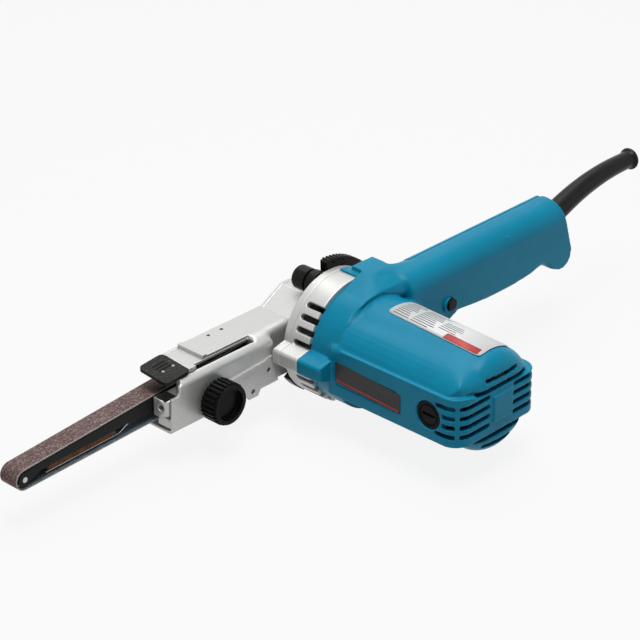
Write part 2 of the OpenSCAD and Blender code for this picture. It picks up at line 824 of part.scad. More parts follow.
module grip_cover() {
    color(blue) difference() {
        union() {
            difference() {
                intersection() {
                    grip_solid();
                    far_region();
                }
                intersection() {
                    grip_cavity();
                    block(0, grip_foot + 60, y_seam - 1, y_grip_end + 20, -60, 80);
                }
            }
            grip_bosses(y_seam, grip_out + 1);
        }
        trigger_slot();
        guard_bend_solid(guard_r + seat_fit, 0, guard_angle - 2);
        for (p = grip_screw_at) {
            rod_y(grip_screw_r + 0.2, y_seam - 1, y_grip_end, p[0], p[1]);
            rod_y(grip_head_r + 0.3, y_grip_end - grip_head_deep, y_grip_end + 1, p[0], p[1]);
        }
    }
}

module grip_screws() {
    color(steel)
        for (p = grip_screw_at)
            screw_y(grip_screw_r, grip_head_r, grip_head_t, y_grip_end - grip_head_deep, grip_in + 3,
                p[0], p[1]);
}

module brush_caps() {
    slot_len = cap_r * 1.1;
    color(black)
        for (s = [-1, 1])
            flip(s) difference() {
                rod_x(cap_r, side_w(s) - cap_deep, side_w(s) - cap_sink, y_brush);
                difference() {
                    rod_x(cap_r * 0.8, side_w(s) - cap_sink - 0.7, side_w(s), y_brush);
                    rod_x(cap_r * 0.7, side_w(s) - cap_sink - 1, side_w(s) + 1, y_brush);
                }
                block(side_w(s) - cap_sink - 1.2, side_w(s), y_brush - slot_len / 2, y_brush + slot_len / 2,
                    -0.8, 0.8);
            }
}

module brush_holders() {
    color(brass)
        for (s = [-1, 1])
            flip(s) difference() {
                rod_x(holder_r, comm_r + 2, side_w(s) - cap_deep, y_brush);
                block(0, side_w(s), y_brush - 2.7, y_brush + 2.7, -3.6, 3.6);
            }
}

module carbon_brushes() {
    color("#3a3a3c")
        for (s = [-1, 1])
            flip(s) block(comm_r + 0.15, comm_r + brush_len, y_brush - 2.6, y_brush + 2.6, -3.5, 3.5);
}

module brush_springs() {
    x0 = comm_r + brush_len + 0.1;
    color(steel)
        for (s = [-1, 1])
            flip(s) translate([x0, y_brush, 0]) rotate([0, 90, 0])
                coil(1.9, 0.3, 6, side_w(s) - cap_deep - 0.1 - x0);
}

module armature_shaft() {
    color(steel) union() {
        rod_y(journal_r, y_in + 0.6, y_in + rear_brg_w + 1);
        rod_y(shaft_r, y_in + rear_brg_w + 1, y_belt + belt_w + 0.2);
        rod_y(shaft_r - 0.8, y_belt + belt_w, y_side - 0.7);
    }
}

module armature_core() {
    color("#6d7074") difference() {
        ring_y(core_r, shaft_r + seat_fit, y_core, y_core_end);
        for (i = [0:11])
            rotate([0, i * 30, 0]) block(-1.1, 1.1, y_core - 1, y_core_end + 1, core_r - 4, core_r + 1);
    }
}

module armature_windings() {
    bulge = core_r - 3;
    color(copper) {
        turn_y() polygon([[shaft_r + seat_fit, y_comm + comm_len], [comm_r - 2, y_comm + comm_len],
            [bulge, y_comm + comm_len + 3], [bulge, y_core], [shaft_r + seat_fit, y_core]]);
        turn_y() polygon([[shaft_r + seat_fit, y_core_end], [bulge, y_core_end],
            [bulge, y_core_end + 5], [bulge - 3, y_core_end + winding_len],
            [shaft_r + seat_fit, y_core_end + winding_len]]);
    }
}

module commutator() {
    color(copper) difference() {
        ring_y(comm_r, shaft_r + seat_fit, y_comm, y_comm + comm_len);
        for (i = [0:23])
            rotate([0, i * 15, 0])
                block(-0.25, 0.25, y_comm - 1, y_comm + comm_len - 2, comm_r - 1, comm_r + 1);
    }
}

module stator_core() {
    color("#7b7e82") difference() {
        ring_y(stator_r, stator_in, y_core - 1, y_core_end + 1);
        for (a = [35, 145, 215, 325])
            rod_y(coil_wire_r + 0.3, y_core - 2, y_core_end + 2, coil_r * cos(a), coil_r * sin(a));
    }
}

module field_coils() {
    w = coil_wire_r;
    flat = w - 0.5;
    end = winding_len - 1;
    color(copper) for (a0 = [35, 215]) {
        for (a = [a0, a0 + 110])
            rod_y(w, y_core - 3, y_core_end + 3, coil_r * cos(a), coil_r * sin(a));
        turn_y(110, a0) polygon([[coil_r - flat, y_core - end], [coil_r + flat, y_core - end],
            [coil_r + flat, y_core - 1.5], [coil_r - flat, y_core - 1.5]]);
        turn_y(110, a0) polygon([[coil_r - flat, y_core_end + 1.5], [coil_r + flat, y_core_end + 1.5],
            [coil_r + flat, y_core_end + end], [coil_r - flat, y_core_end + end]]);
    }
}

module cooling_fan() {
    color("#2a2c2e") difference() {
        union() {
            rod_y(fan_hub_r, y_fan, y_fan_end);
            rod_y(fan_r, y_fan, y_fan + 1.2);
            for (i = [0:fan_blades - 1])
                rotate([0, i * 360 / fan_blades, 0])
                    block(fan_hub_r - 1, fan_r - 0.4, y_fan, y_fan_end - 1, -0.7, 0.7);
        }
        rod_y(shaft_r + seat_fit, y_fan - 1, y_fan_end + 1);
    }
}

module ball_bearing(r, bore, y0, y1) {
    color(steel) difference() {
        ring_y(r, bore, y0, y1);
        for (y = [y0, y1])
            ring_y(r - 2, bore + 1.4, y - 0.4, y + 0.4);
    }
}

module rear_bearing() {
    ball_bearing(rear_brg_r, journal_r + run_fit, y_in, y_in + rear_brg_w);
}

module front_bearing() {
    ball_bearing(front_brg_r, shaft_r + run_fit, y_brg, y_brg + front_brg_w);
}

module air_baffle() {
    color("#202326")
        ring_y(fan_cavity_r - seat_fit, cavity_r - 5, y_baffle, y_baffle + baffle_t);
}

module fan_slots(from, to) {
    for (a = [from:11.5:to])
        rotate([0, -a, 0]) {
            block(ring_r - ring_t - 1, ring_r + 1, y_joint - 1, y_slot_end - fan_slot_w / 2,
                -fan_slot_w / 2, fan_slot_w / 2);
            rod_x(fan_slot_w / 2, ring_r - ring_t - 1, ring_r + 1, y_slot_end - fan_slot_w / 2);
        }
}

module fan_housing() {
    color(silver) difference() {
        union() {
            rod_y(ring_r, y_joint, y_cover);
            for (i = [0:2])
                lug(i, ring_r - ring_t + 1.2, y_joint, y_cover);
        }
        rod_y(ring_r - ring_t, y_joint - 1, y_cover + 1);
        for (i = [0:2])
            lug_bore(i, screw_r + 0.2, y_joint - 1, y_cover + 1);
        fan_slots(132.5, 168);
        fan_slots(203, 262);
        fan_slots(-42, -18);
    }
}

module bearing_cover() {
    color(silver) difference() {
        union() {
            rod_y(ring_r, y_cover, y_face);
            for (i = [0:2])
                lug(i, ring_r - ring_t + 1.2, y_cover, y_face);
            rod_y(front_brg_r + 3, y_brg, y_cover + 1);
            rod_y(spigot_r, y_face - 1, y_spigot);
        }
        rod_y(front_brg_r + seat_fit, y_brg - 1, y_brg + front_brg_w);
        rod_y(shaft_r + 2, y_brg, y_spigot + 1);
        ring_y(spigot_r + 1, spigot_r - clip_depth, y_clip, y_clip + clip_t);
        for (i = rear_lugs)
            lug_bore(i, screw_r + seat_fit, y_cover - 1, y_face - 0.8);
        lug_bore(front_lug, screw_r + 0.2, y_cover - 1, y_face + 1);
        lug_bore(front_lug, screw_head_r + 0.4, front_seat, y_face + 1);
    }
}

module housing_screws() {
    color(steel) {
        for (i = rear_lugs) {
            p = lug_pos(i);
            screw_y(screw_r, screw_head_r, -screw_head_t, screw_seat, y_face - 1.2, p[0], p[1]);
        }
        p = lug_pos(front_lug);
        screw_y(screw_r, screw_head_r, screw_head_t, front_seat, y_joint - lug_len + 4, p[0], p[1]);
    }
}

module drive_pulley() {
    color(steel) difference() {
        rod_y(pulley_r, y_belt - move_gap, y_belt + belt_w);
        rod_y(shaft_r + seat_fit, y_belt - 1, y_belt + belt_w + 1);
        ring_y(pulley_r - 1.6, shaft_r + 1.8, y_belt + belt_w - 1.2, y_belt + belt_w + 1);
    }
}

module pulley_nut() {
    color(steel) difference() {
        translate([0, y_side - 1, 0]) rotate([90, 0, 0])
            cylinder(r = shaft_r + 1.6, h = y_side - 1 - y_belt - belt_w - 0.25, $fn = 6);
        rod_y(shaft_r - 0.8 + seat_fit, y_belt, y_side);
    }
}

module arm_section(inset) {
    r = [3, 0.6, 0.6, arm_round];
    polygon(round_box(y_arm + inset, inset > 0 ? y_side + 1 : y_side, -arm_bot + inset, arm_top - inset,
        [for (k = r) max(k - inset, 0)]));
}

// Ramp from the arm's top up to the drum round the pulley
module ramp(inset, y0, y1) {
    prism_y(y0, y1)
        polygon([[-ramp_x + inset, 0], [-ramp_x + inset, arm_top - inset], [-top_x, drum_r - inset],
            [0, drum_r - inset], [0, 0]]);
}

module arm_shape() {
    prism_x(-arm_mouth, -arm_root) arm_section(0);
    rod_y(drum_r, y_arm, y_side);
    ramp(0, y_arm, y_side);
}

// Room for the belt's upper run under the arm's top
module belt_relief() {
    off = belt_clear + belt_t + 1.5 * move_gap;
    prism_y(y_belt - 2 * move_gap, y_side + 1)
        polygon([[-rib_x, 0], [-rib_x, run_top(-rib_x, off)], [0, run_top(0, off)], [0, 0]]);
}

module arm_hollow() {
    difference() {
        union() {
            prism_x(-arm_mouth - 1, -arm_root) arm_section(arm_t);
            rod_y(drum_r - arm_t, arm_in, y_side + 1);
            ramp(arm_t, arm_in, y_side + 1);
            belt_relief();
        }
        rod_y(lock_recess_r + arm_t, y_arm - 1, y_wall_end);
    }
}

side_boss_r = 2.4;
side_boss_at = (drum_r - arm_t - side_boss_r + 0.4) / sqrt(2);
side_screw_at = [[-cover_x + 6, arm_in_top - side_boss_r + 0.3], [side_boss_at, side_boss_at],
    [side_boss_at, -side_boss_at]];
plate_screw_at = [[-step_x + 18.5, y_side - 3], [-step_x + 28, y_side - 3]];
side_plate_screw_at = [[-side_plate_end - side_plate_len * 0.08, -side_plate_low / 2],
    [-side_plate_end - side_plate_len * 0.46, -side_plate_low - 0.8]];

module arm_housing() {
    color(silver) difference() {
        union() {
            difference() {
                arm_shape();
                arm_hollow();
            }
            // Bosses for the side cover's screws
            intersection() {
                union()
                    for (p = side_screw_at)
                        rod_y(side_boss_r, y_side - 8, y_side, p[0], p[1]);
                arm_shape();
            }
            // Rib that the tension spring pushes on
            block(-rib_x, -rib_x + rib_t, arm_in - 0.5, y_belt - 0.5, -arm_in_bot - 0.5, spring_z + 6);
        }
        rod_y(lock_recess_r, y_arm - 1, y_wall);
        rod_y(spigot_r + run_fit, y_wall - 1, y_wall_end + 1);
        // Slot for the tension tab, open towards the mouth
        block(-arm_mouth - 1, -slot_end, y_slot, y_slot + slot_w, arm_in_top - 3, arm_top + 1);
        // Front corner of the near wall, cut in an S
        prism_y(y_arm - 1, y_slot + 0.1)
            polygon(concat(
                [[-arm_mouth - 1, arm_top + 1], [-arm_mouth - 1, notch_z]],
                arc([-arm_mouth + notch_len - notch_r, notch_z + notch_r], notch_r, 270, 360, 5),
                arc([-arm_mouth + notch_len + notch_r, arm_top - 2.6 - notch_r], notch_r, 180, 90, 5),
                [[-arm_mouth + notch_len + notch_r, arm_top + 1]]));
        // Open top in front of the side cover
        block(-arm_mouth - 1, -cover_x, y_slot, y_side + 1, arm_in_top - 1, arm_top + 1);
        rod_y(3 + run_fit, y_arm - 1, arm_in + 1, -knob_x, -knob_drop);
        rod_x(guide_r + move_gap, -rib_x - 1, -rib_x + rib_t + 1, slide_y0 + jaw_hole_in, spring_z);
        for (p = side_screw_at)
            rod_y(1.2 + seat_fit, y_side - 6.4, y_side + 1, p[0], p[1]);
        for (p = plate_screw_at)
            rod_z(0.8 + seat_fit, arm_in_top - 1, arm_top + 1, p[0], p[1]);
        for (p = side_plate_screw_at)
            rod_y(1.2 + seat_fit, y_arm - 1, arm_in + 1, p[0], p[1]);
    }
}

module swivel_clip() {
    color(steel) difference() {
        ring_y(spigot_r + 1.8, spigot_r - clip_depth + seat_fit,
            y_clip + seat_fit, y_clip + clip_t - seat_fit);
        block(0, spigot_r + 3, y_clip - 1, y_clip + clip_t + 1, -2, 2);
    }
}

module arm_side_plate() {
    proud = arm_gap - move_gap;
    x = -side_plate_x;
    step = side_plate_len / 9;
    foot = -arm_bot - side_plate_foot;
    rib_x1 = x + step * 7.7;
    color(silver) difference() {
        union() {
            prism_y(y_arm - proud, y_arm)
                polygon([[x, -side_plate_top], [-side_plate_end, 0], [-side_plate_end, -side_plate_low],
                    [x + step * 6.7, -side_plate_low], [x + step * 5.9, foot], [x + step * 3.9, foot],
                    [x + step * 3, -side_plate_low], [x + step * 2, -side_plate_low]]);
            // Raised rib along the upper edge
            prism_y(y_arm - proud - side_rib_t, y_arm - proud + 0.2)
                polygon([[x, -side_plate_top], [rib_x1, -0.3], [rib_x1, -0.3 - side_rib_h],
                    [x + 1.2, -side_plate_top - side_rib_h]]);
        }
        for (p = side_plate_screw_at)
            rod_y(1.4, y_arm - proud - 1, y_arm + 1, p[0], p[1]);
    }
}

module side_plate_screws() {
    color(steel)
        for (p = side_plate_screw_at)
            rod_y(1.2, y_arm - arm_gap + move_gap + 0.3, arm_in - 0.1, p[0], p[1]);
}

module top_plate() {
    color(silver) difference() {
        union() {
            translate([0, 0, arm_top]) linear_extrude(plate_t)
                polygon([[-step_x, y_slot + slot_w + 0.2], [-slot_end + 1, y_slot + slot_w + 0.2],
                    [-slot_end + 1, y_wall + 0.4], [-ramp_x - 1, y_wall + 0.4], [-ramp_x - 1, y_side + 0.9],
                    [-step_x, y_side + 0.9]]);
            // Raised lip along the front edge
            block(-step_x, -step_x + lip_w, y_slot + slot_w + 0.2, y_side + 0.9,
                arm_top + plate_t - 0.2, arm_top + plate_t + lip_up);
        }
        for (p = plate_screw_at)
            rod_z(0.8 + 0.15, arm_top - 1, arm_top + plate_t + 1, p[0], p[1]);
    }
}

module top_plate_screws() {
    color("#4a4c4f")
        for (p = plate_screw_at)
            rod_z(0.8, arm_in_top + 0.1, arm_top + plate_t + 0.15, p[0], p[1]);
}

module belt_side_cover() {
    color(silver) difference() {
        union() {
            block(-cover_x, -arm_root, y_side, y_arm_end, -arm_bot, arm_top);
            rod_y(drum_r, y_side, y_arm_end);
            ramp(0, y_side, y_arm_end);
        }
        for (p = side_screw_at) {
            rod_y(1.35, y_side - 1, y_arm_end + 1, p[0], p[1]);
            rod_y(2.3, y_arm_end - 1.1, y_arm_end + 1, p[0], p[1]);
        }
    }
}

module side_cover_screws() {
    color(steel)
        for (p = side_screw_at)
            screw_y(1.2, 2.1, 1, y_arm_end - 1.1, y_side - 6, p[0], p[1]);
}

module tension_slide() {
    color(silver) {
        difference() {
            block(-slide_x0, -slide_x1, slide_y0, y_belt - move_gap, slide_z0, slide_z1);
            rod_x(jaw_hole_r, -slide_x0 - 1, -slide_x0 + jaw_len, slide_y0 + jaw_hole_in, spring_z);
            // Lower lip, set back behind the upper jaw
            block(-slide_x0 - 1, -slide_x0 + lip_back, slide_y0 - 1, y_belt,
                slide_z0 - 1, slide_z0 + lip_h);
            block(-slide_x0 - 1, -slide_x0 + jaw_len, slide_y0 - 1, y_belt, slide_z0 + lip_h,
                slide_z0 + lip_h + jaw_gap);
        }
        block(-post_x0, -post_x1, y_slot + move_gap, y_slot + slot_w - move_gap,
            slide_z1 - 1, tab_z - seat_fit);
        // Clip behind the tab
        block(-tab_x1 + seat_fit, -post_x1 + 0.6, y_slot - 0.8, y_slot + slot_w + 0.8,
            tab_z - 0.3, tab_z + tab_t + 0.2);
        rod_x(guide_r, -slide_x1 - 1, -rib_x + rib_t + 2, slide_y0 + jaw_hole_in, spring_z);
    }
}

module tension_tab() {
    y0 = y_arm + tab_near;
    y1 = y_side - tab_far;
    color(black) difference() {
        translate([0, 0, tab_z]) linear_extrude(tab_t)
            polygon(round_box(-tab_x0, -tab_x1, y0, y1, [3, 2, 3, 3]));
        for (k = [0:2])
            block(-tab_x0 + 5, -tab_x1 - 4, y1 - 6.4 - 2.4 * k, y1 - 5.4 - 2.4 * k,
                tab_z + tab_t - 0.5, tab_z + tab_t + 1);
    }
}

module tension_spring() {
    length = slide_x1 - rib_x - 0.2;
    color(steel)
        translate([-slide_x1 + 0.1, slide_y0 + jaw_hole_in, spring_z]) rotate([0, 90, 0])
            coil(spring_r, spring_wire, 8, length);
}

module tracking_knob() {
    ribs = 26;
    y0 = y_arm - knob_len - 2.2;
    y1 = y_arm - 2.2;
    color(black) difference() {
        union() {
            rod_y(knob_r - 0.5, y0, y1, -knob_x, -knob_drop);
            rod_y(5, y1 - 1, y_arm - move_gap, -knob_x, -knob_drop);
            for (i = [0:ribs - 1])
                translate([-knob_x, 0, -knob_drop]) rotate([0, i * 360 / ribs, 0])
                    block(knob_r - 1.4, knob_r, y0 + 1.4, y1, -0.7, 0.7);
        }
        rod_y(knob_r - 3, y0 - 1, y0 + 3, -knob_x, -knob_drop);
        rod_y(3 + seat_fit, y0 + 5, y_arm, -knob_x, -knob_drop);
    }
}

module tracking_stud() {
    color(steel)
        rod_y(3, y_arm - knob_len + 3, arm_in + move_gap - 0.1, -knob_x, -knob_drop);
}

module belt_arm() {
    x0 = nose[0] + 9;
    fork = roller_r - 0.7;
    color("#33363a") difference() {
        union() {
            prism_y(y_bar, y_bar_end)
                polygon([[x0, run_low(x0, bar_low_off)], [-bar_back, run_low(-bar_back, bar_low_off)],
                    [-bar_back, run_top(-bar_back, bar_top_off)], [x0, run_top(x0, bar_top_off)]]);
            // Pad that is fixed to the slide
            block(-slide_x0 + 6, -slide_x1 - 6, y_belt - move_gap + seat_fit, y_bar + 1, -8, 0);
            for (y = [y_bar, y_bar_end - fork_t])
                prism_y(y, y + fork_t)
                    polygon(concat(
                        arc(nose, fork, 100, 262, 14),
                        [[x0 + 1, run_low(x0, bar_low_off)], [x0 + 1, run_top(x0, bar_top_off)]]));
        }
        rod_y(pin_r + run_fit, y_bar - 1, y_bar_end + 1, nose[0], nose[1]);
        rod_y(roller_r + 0.8, y_roller - 0.2, y_roller_end + 0.2, nose[0], nose[1]);
    }
}

module nose_roller() {
    color(steel) difference() {
        rod_y(roller_r, y_roller, y_roller_end, nose[0], nose[1]);
        rod_y(pin_r + run_fit, y_roller - 1, y_roller_end + 1, nose[0], nose[1]);
    }
}

module nose_pin() {
    color("#d5d7d8")
        rod_y(pin_r, y_bar - 0.3, y_bar_end + 0.3, nose[0], nose[1]);
}

pad_x0 = -nose_reach + pad_lead;
pad_x1 = pad_x0 + pad_len;

module platen_pad() {
    off0 = bar_low_off;
    off1 = bar_low_off + pad_thick;
    color("#8a5230")
        prism_y(y_bar + leaf_inset, y_bar_end - leaf_inset)
            polygon([[pad_x0, run_low(pad_x0, off1)], [pad_x1, run_low(pad_x1, off1)],
                [pad_x1, run_low(pad_x1, off0) - seat_fit], [pad_x0, run_low(pad_x0, off0) - seat_fit]]);
}

module platen_spring() {
    off = bar_low_off + pad_thick + seat_fit;
    x1 = pad_x0 - leaf_tip;
    x2 = pad_x1 + leaf_bend;
    x3 = x2 + leaf_rise;
    x4 = x3 + leaf_foot;
    up = bar_low_off + leaf_t + seat_fit;
    color(steel)
        prism_y(y_bar + leaf_inset, y_bar_end - leaf_inset)
            polygon([[x1, run_low(x1, off + leaf_t)], [x2, run_low(x2, off + leaf_t)],
                [x3, run_low(x3, up)], [x4, run_low(x4, up)], [x4, run_low(x4, up - leaf_t)],
                [x3 - 0.4, run_low(x3, up - leaf_t)], [x2 - 0.4, run_low(x2, off)],
                [x1, run_low(x1, off)]]);
}

module abrasive_belt() {
    color("#6b4a44") prism_y(y_belt, y_belt + belt_w) difference() {
        polygon(loop(belt_clear + belt_t));
        polygon(loop(belt_clear));
    }
}

lock_knob_at = [-6.6, 28];
thumb_ribs = 13;

module lock_ring() {
    color(black) difference() {
        union() {
            rod_y(lock_r, y_lock, y_lock_end);
            turn_y(50, 42) polygon([[lock_r - 4, y_lock], [thumb_r, y_lock],
                [thumb_r, y_lock_end], [lock_r - 4, y_lock_end]]);
            turn_y(24, 214) polygon([[lock_r - 4, y_lock], [ring_r + 0.6, y_lock],
                [ring_r + 0.6, y_lock_end], [lock_r - 4, y_lock_end]]);
            for (i = [0:thumb_ribs - 1])
                rotate([0, -45 - i * 44 / (thumb_ribs - 1), 0])
                    block(thumb_r - 1, thumb_r + 0.8, y_lock, y_lock_end, -0.55, 0.55);
            rod_y(7, y_lock, y_lock_end, lock_knob_at[0], lock_knob_at[1]);
        }
        rod_y(spigot_r + run_fit, y_lock - 1, y_lock_end + 1);
        rod_y(2 + seat_fit, y_lock + 1, y_lock_end + 1, lock_knob_at[0], lock_knob_at[1]);
    }
}

module lock_knob() {
    r = 6.6;
    neck = 1.8;
    length = 9;
    y0 = y_lock_end;
    color(black)
        translate([lock_knob_at[0], 0, lock_knob_at[1]]) turn_y()
            polygon(concat(
                [[0, y0 - 2.8], [2, y0 - 2.8], [2, y0], [4.4, y0], [4.4, y0 + neck], [r, y0 + neck]],
                arc([r - 2, y0 + neck + length - 2], 2, 0, 90),
                [[0, y0 + neck + length]]));
}

module trigger() {
    x0 = trigger_x - trigger_half;
    x1 = trigger_x + trigger_half;
    color(black) prism_y(y_trigger, y_trigger + trigger_w)
        polygon([[x0, trigger_top], [x0, grip_low - trigger_drop * 0.8],
            [x0 + trigger_half * 0.36, grip_low - trigger_drop],
            [x0 + trigger_half, grip_low - trigger_drop * 0.87],
            [x1 - trigger_half * 0.6, grip_low - trigger_drop * 0.53],
            [x1, grip_low - trigger_drop * 0.2], [x1, trigger_top]]);
}

module trigger_spring() {
    color(steel) translate([trigger_x, y_mid, trigger_top + 0.1])
        coil(3, 0.4, 5, switch_z - trigger_top - 0.2);
}

module lock_button() {
    color(black) union() {
        rod_y(button_r, y_grip - button_proud, grip_in + 0.2, button_x, button_z);
        rod_y(button_r + 0.8, grip_in + 0.2, grip_in + 0.2 + flange_t, button_x, button_z);
    }
}

module switch_body() {
    color("#2b2b2e")
        block(switch_x0, switch_x1, grip_in + switch_gap, grip_out - switch_gap,
            switch_z, switch_z + switch_h);
}

module cord_guard() {
    mouth_x = bend_x + guard_mouth;
    color(black) union() {
        guard_bend_tube(guard_r, guard_bore_r, 0, guard_angle);
        guard_bend_tube(guard_flange_r, guard_r - 0.6, guard_angle - 1.1, guard_angle);
        difference() {
            union() {
                rod_x(guard_r, bend_x, mouth_x, y_mid, guard_top);
                rod_x(guard_lip_r, mouth_x - 3, mouth_x, y_mid, guard_top);
            }
            rod_x(guard_bore_r, bend_x - 1, mouth_x + 1, y_mid, guard_top);
        }
    }
}

module cord_clamp() {
    y0 = grip_in + clamp_boss;
    color("#3b3d40") difference() {
        block(clamp_x - clamp_half, clamp_x + clamp_half, y0, y0 + clamp_t, clamp_z[0] - clamp_half,
            clamp_z[1] + clamp_half);
        for (z = clamp_z)
            rod_y(clamp_screw_r + 0.2, y0 - 1, y0 + clamp_t + 1, clamp_x, z);
    }
}

module cord_clamp_screws() {
    y0 = grip_in + clamp_boss + clamp_t;
    color(steel)
        for (z = clamp_z)
            screw_y(clamp_screw_r, clamp_screw_r + 1.2, 1.6, y0, grip_in + 1, clamp_x, z);
}

module name_plate() {
    color("#37383a")
        prism_x(-band_near_w - plate_proud, -band_near_w + plate_sink - seat_fit)
            polygon([[plate_y0, -plate_low_rear], [plate_y1, -plate_low_front], [plate_y1, plate_top_front],
                [plate_y0, plate_top_rear]]);
}

module rating_label() {
    gap = 0.02;
    r0 = barrel_at(label_y0) + gap;
    r1 = barrel_at(label_y1) + gap;
    color("#e6e6e4")
        turn_y(46, 54)
            polygon([[r0, label_y0], [r0 + label_t, label_y0], [r1 + label_t, label_y1], [r1, label_y1]]);
}

motor_housing();
grip_cover();
grip_screws();
brush_caps();
brush_holders();
carbon_brushes();
brush_springs();
armature_shaft();
armature_core();
armature_windings();
commutator();
stator_core();
field_coils();
cooling_fan();
rear_bearing();
front_bearing();
air_baffle();
fan_housing();
bearing_cover();
housing_screws();
drive_pulley();
pulley_nut();
arm_housing();
swivel_clip();
arm_side_plate();
side_plate_screws();
top_plate();
top_plate_screws();
belt_side_cover();
side_cover_screws();
tension_slide();
tension_tab();
tension_spring();
tracking_knob();
tracking_stud();
belt_arm();
nose_roller();
nose_pin();
platen_pad();
platen_spring();
abrasive_belt();
lock_ring();
lock_knob();
trigger();
trigger_spring();
lock_button();
switch_body();
cord_guard();
cord_clamp();
cord_clamp_screws();
name_plate();
rating_label();
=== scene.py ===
import json
import math

import bmesh
import bpy
import numpy as np
from mathutils import Matrix, Vector


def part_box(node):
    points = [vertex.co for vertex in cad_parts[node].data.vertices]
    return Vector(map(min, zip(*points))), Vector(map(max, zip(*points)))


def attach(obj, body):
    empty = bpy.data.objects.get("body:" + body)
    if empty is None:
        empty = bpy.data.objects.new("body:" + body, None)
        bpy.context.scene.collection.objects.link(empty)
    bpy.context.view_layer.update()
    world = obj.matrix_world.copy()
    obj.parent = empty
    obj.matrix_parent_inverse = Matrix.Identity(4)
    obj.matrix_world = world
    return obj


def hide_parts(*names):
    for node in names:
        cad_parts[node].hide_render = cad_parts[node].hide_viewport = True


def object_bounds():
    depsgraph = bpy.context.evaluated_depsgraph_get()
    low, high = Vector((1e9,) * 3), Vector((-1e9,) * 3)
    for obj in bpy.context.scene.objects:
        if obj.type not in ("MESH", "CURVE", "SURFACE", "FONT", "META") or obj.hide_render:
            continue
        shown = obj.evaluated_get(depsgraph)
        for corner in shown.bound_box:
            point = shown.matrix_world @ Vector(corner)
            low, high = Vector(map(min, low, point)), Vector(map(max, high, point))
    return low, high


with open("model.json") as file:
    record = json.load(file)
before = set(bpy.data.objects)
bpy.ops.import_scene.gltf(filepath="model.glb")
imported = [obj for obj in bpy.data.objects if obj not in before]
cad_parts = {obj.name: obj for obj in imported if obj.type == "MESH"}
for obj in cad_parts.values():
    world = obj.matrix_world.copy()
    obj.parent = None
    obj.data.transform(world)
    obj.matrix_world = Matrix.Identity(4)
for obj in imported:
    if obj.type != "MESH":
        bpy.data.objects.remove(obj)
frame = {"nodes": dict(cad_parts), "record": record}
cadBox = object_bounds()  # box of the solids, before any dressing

mm = 0.001
nodes = frame["nodes"]
scene = bpy.context.scene
print("frame loaded:", len(nodes), "parts")


# helpers for node trees

def link(tree, source, target):
    tree.links.new(source, target)


def addNode(tree, kind, **values):
    node = tree.nodes.new(kind)
    for key, value in values.items():
        setattr(node, key, value)
    return node


def newGroup(name, inputs, outputs):
    group = bpy.data.node_groups.new(name, "ShaderNodeTree")
    for label, kind, default in inputs:
        socket = group.interface.new_socket(label, in_out="INPUT", socket_type=kind)
        socket.default_value = default
    for label, kind in outputs:
        group.interface.new_socket(label, in_out="OUTPUT", socket_type=kind)
    return group, addNode(group, "NodeGroupInput"), addNode(group, "NodeGroupOutput")


def noiseNode(tree, scaleSocket, detail, roughness):
    coords = addNode(tree, "ShaderNodeTexCoord")
    noise = addNode(tree, "ShaderNodeTexNoise")
    noise.inputs["Detail"].default_value = detail
    noise.inputs["Roughness"].default_value = roughness
    link(tree, coords.outputs["Object"], noise.inputs["Vector"])
    link(tree, scaleSocket, noise.inputs["Scale"])
    return noise


def mapped(tree, source, low, high, toLow, toHigh):
    node = addNode(tree, "ShaderNodeMapRange", interpolation_type="SMOOTHSTEP")
    link(tree, source, node.inputs["Value"])
    for label, value in (("From Min", low), ("From Max", high), ("To Min", toLow), ("To Max", toHigh)):
        if isinstance(value, bpy.types.NodeSocket):
            link(tree, value, node.inputs[label])
        else:
            node.inputs[label].default_value = value
    return node.outputs["Result"]


def mixed(tree, factor, first, second):
    node = addNode(tree, "ShaderNodeMix", data_type="RGBA")
    for number, value in ((0, factor), (6, first), (7, second)):  # factor and the two colours
        if isinstance(value, bpy.types.NodeSocket):
            link(tree, value, node.inputs[number])
        else:
            node.inputs[number].default_value = value
    return node.outputs[2]


# effects that several finishes share

def buildMottle():
    # slow cloudy change of colour and gloss
    group, source, result = newGroup(
        "mottle",
        [("Colour", "NodeSocketColor", (0.5, 0.5, 0.5, 1)), ("Other", "NodeSocketColor", (0.4, 0.4, 0.4, 1)),
         ("Scale", "NodeSocketFloat", 60.0), ("Gloss Low", "NodeSocketFloat", 0.4),
         ("Gloss High", "NodeSocketFloat", 0.5)],
        [("Colour", "NodeSocketColor"), ("Roughness", "NodeSocketFloat")])
    cloud = {"detail": 5.0, "roughness": 0.6, "from": 0.3, "to": 0.7}
    noise = noiseNode(group, source.outputs["Scale"], cloud["detail"], cloud["roughness"])
    tint = mapped(group, noise.outputs["Fac"], cloud["from"], cloud["to"], 0.0, 1.0)
    colour = mixed(group, tint, source.outputs["Colour"], source.outputs["Other"])
    link(group, colour, result.inputs["Colour"])
    gloss = mapped(group, noise.outputs["Fac"], cloud["from"], cloud["to"], source.outputs["Gloss Low"],
                   source.outputs["Gloss High"])
    link(group, gloss, result.inputs["Roughness"])
    return group


def buildGrain():
    # fine pebbled skin of a moulding or a casting
    group, source, result = newGroup(
        "grain", [("Scale", "NodeSocketFloat", 2500.0)], [("Height", "NodeSocketFloat")])
    pebble = {"detail": 2.0, "roughness": 0.55}
    noise = noiseNode(group, source.outputs["Scale"], pebble["detail"], pebble["roughness"])
    link(group, noise.outputs["Fac"], result.inputs["Height"])
    return group


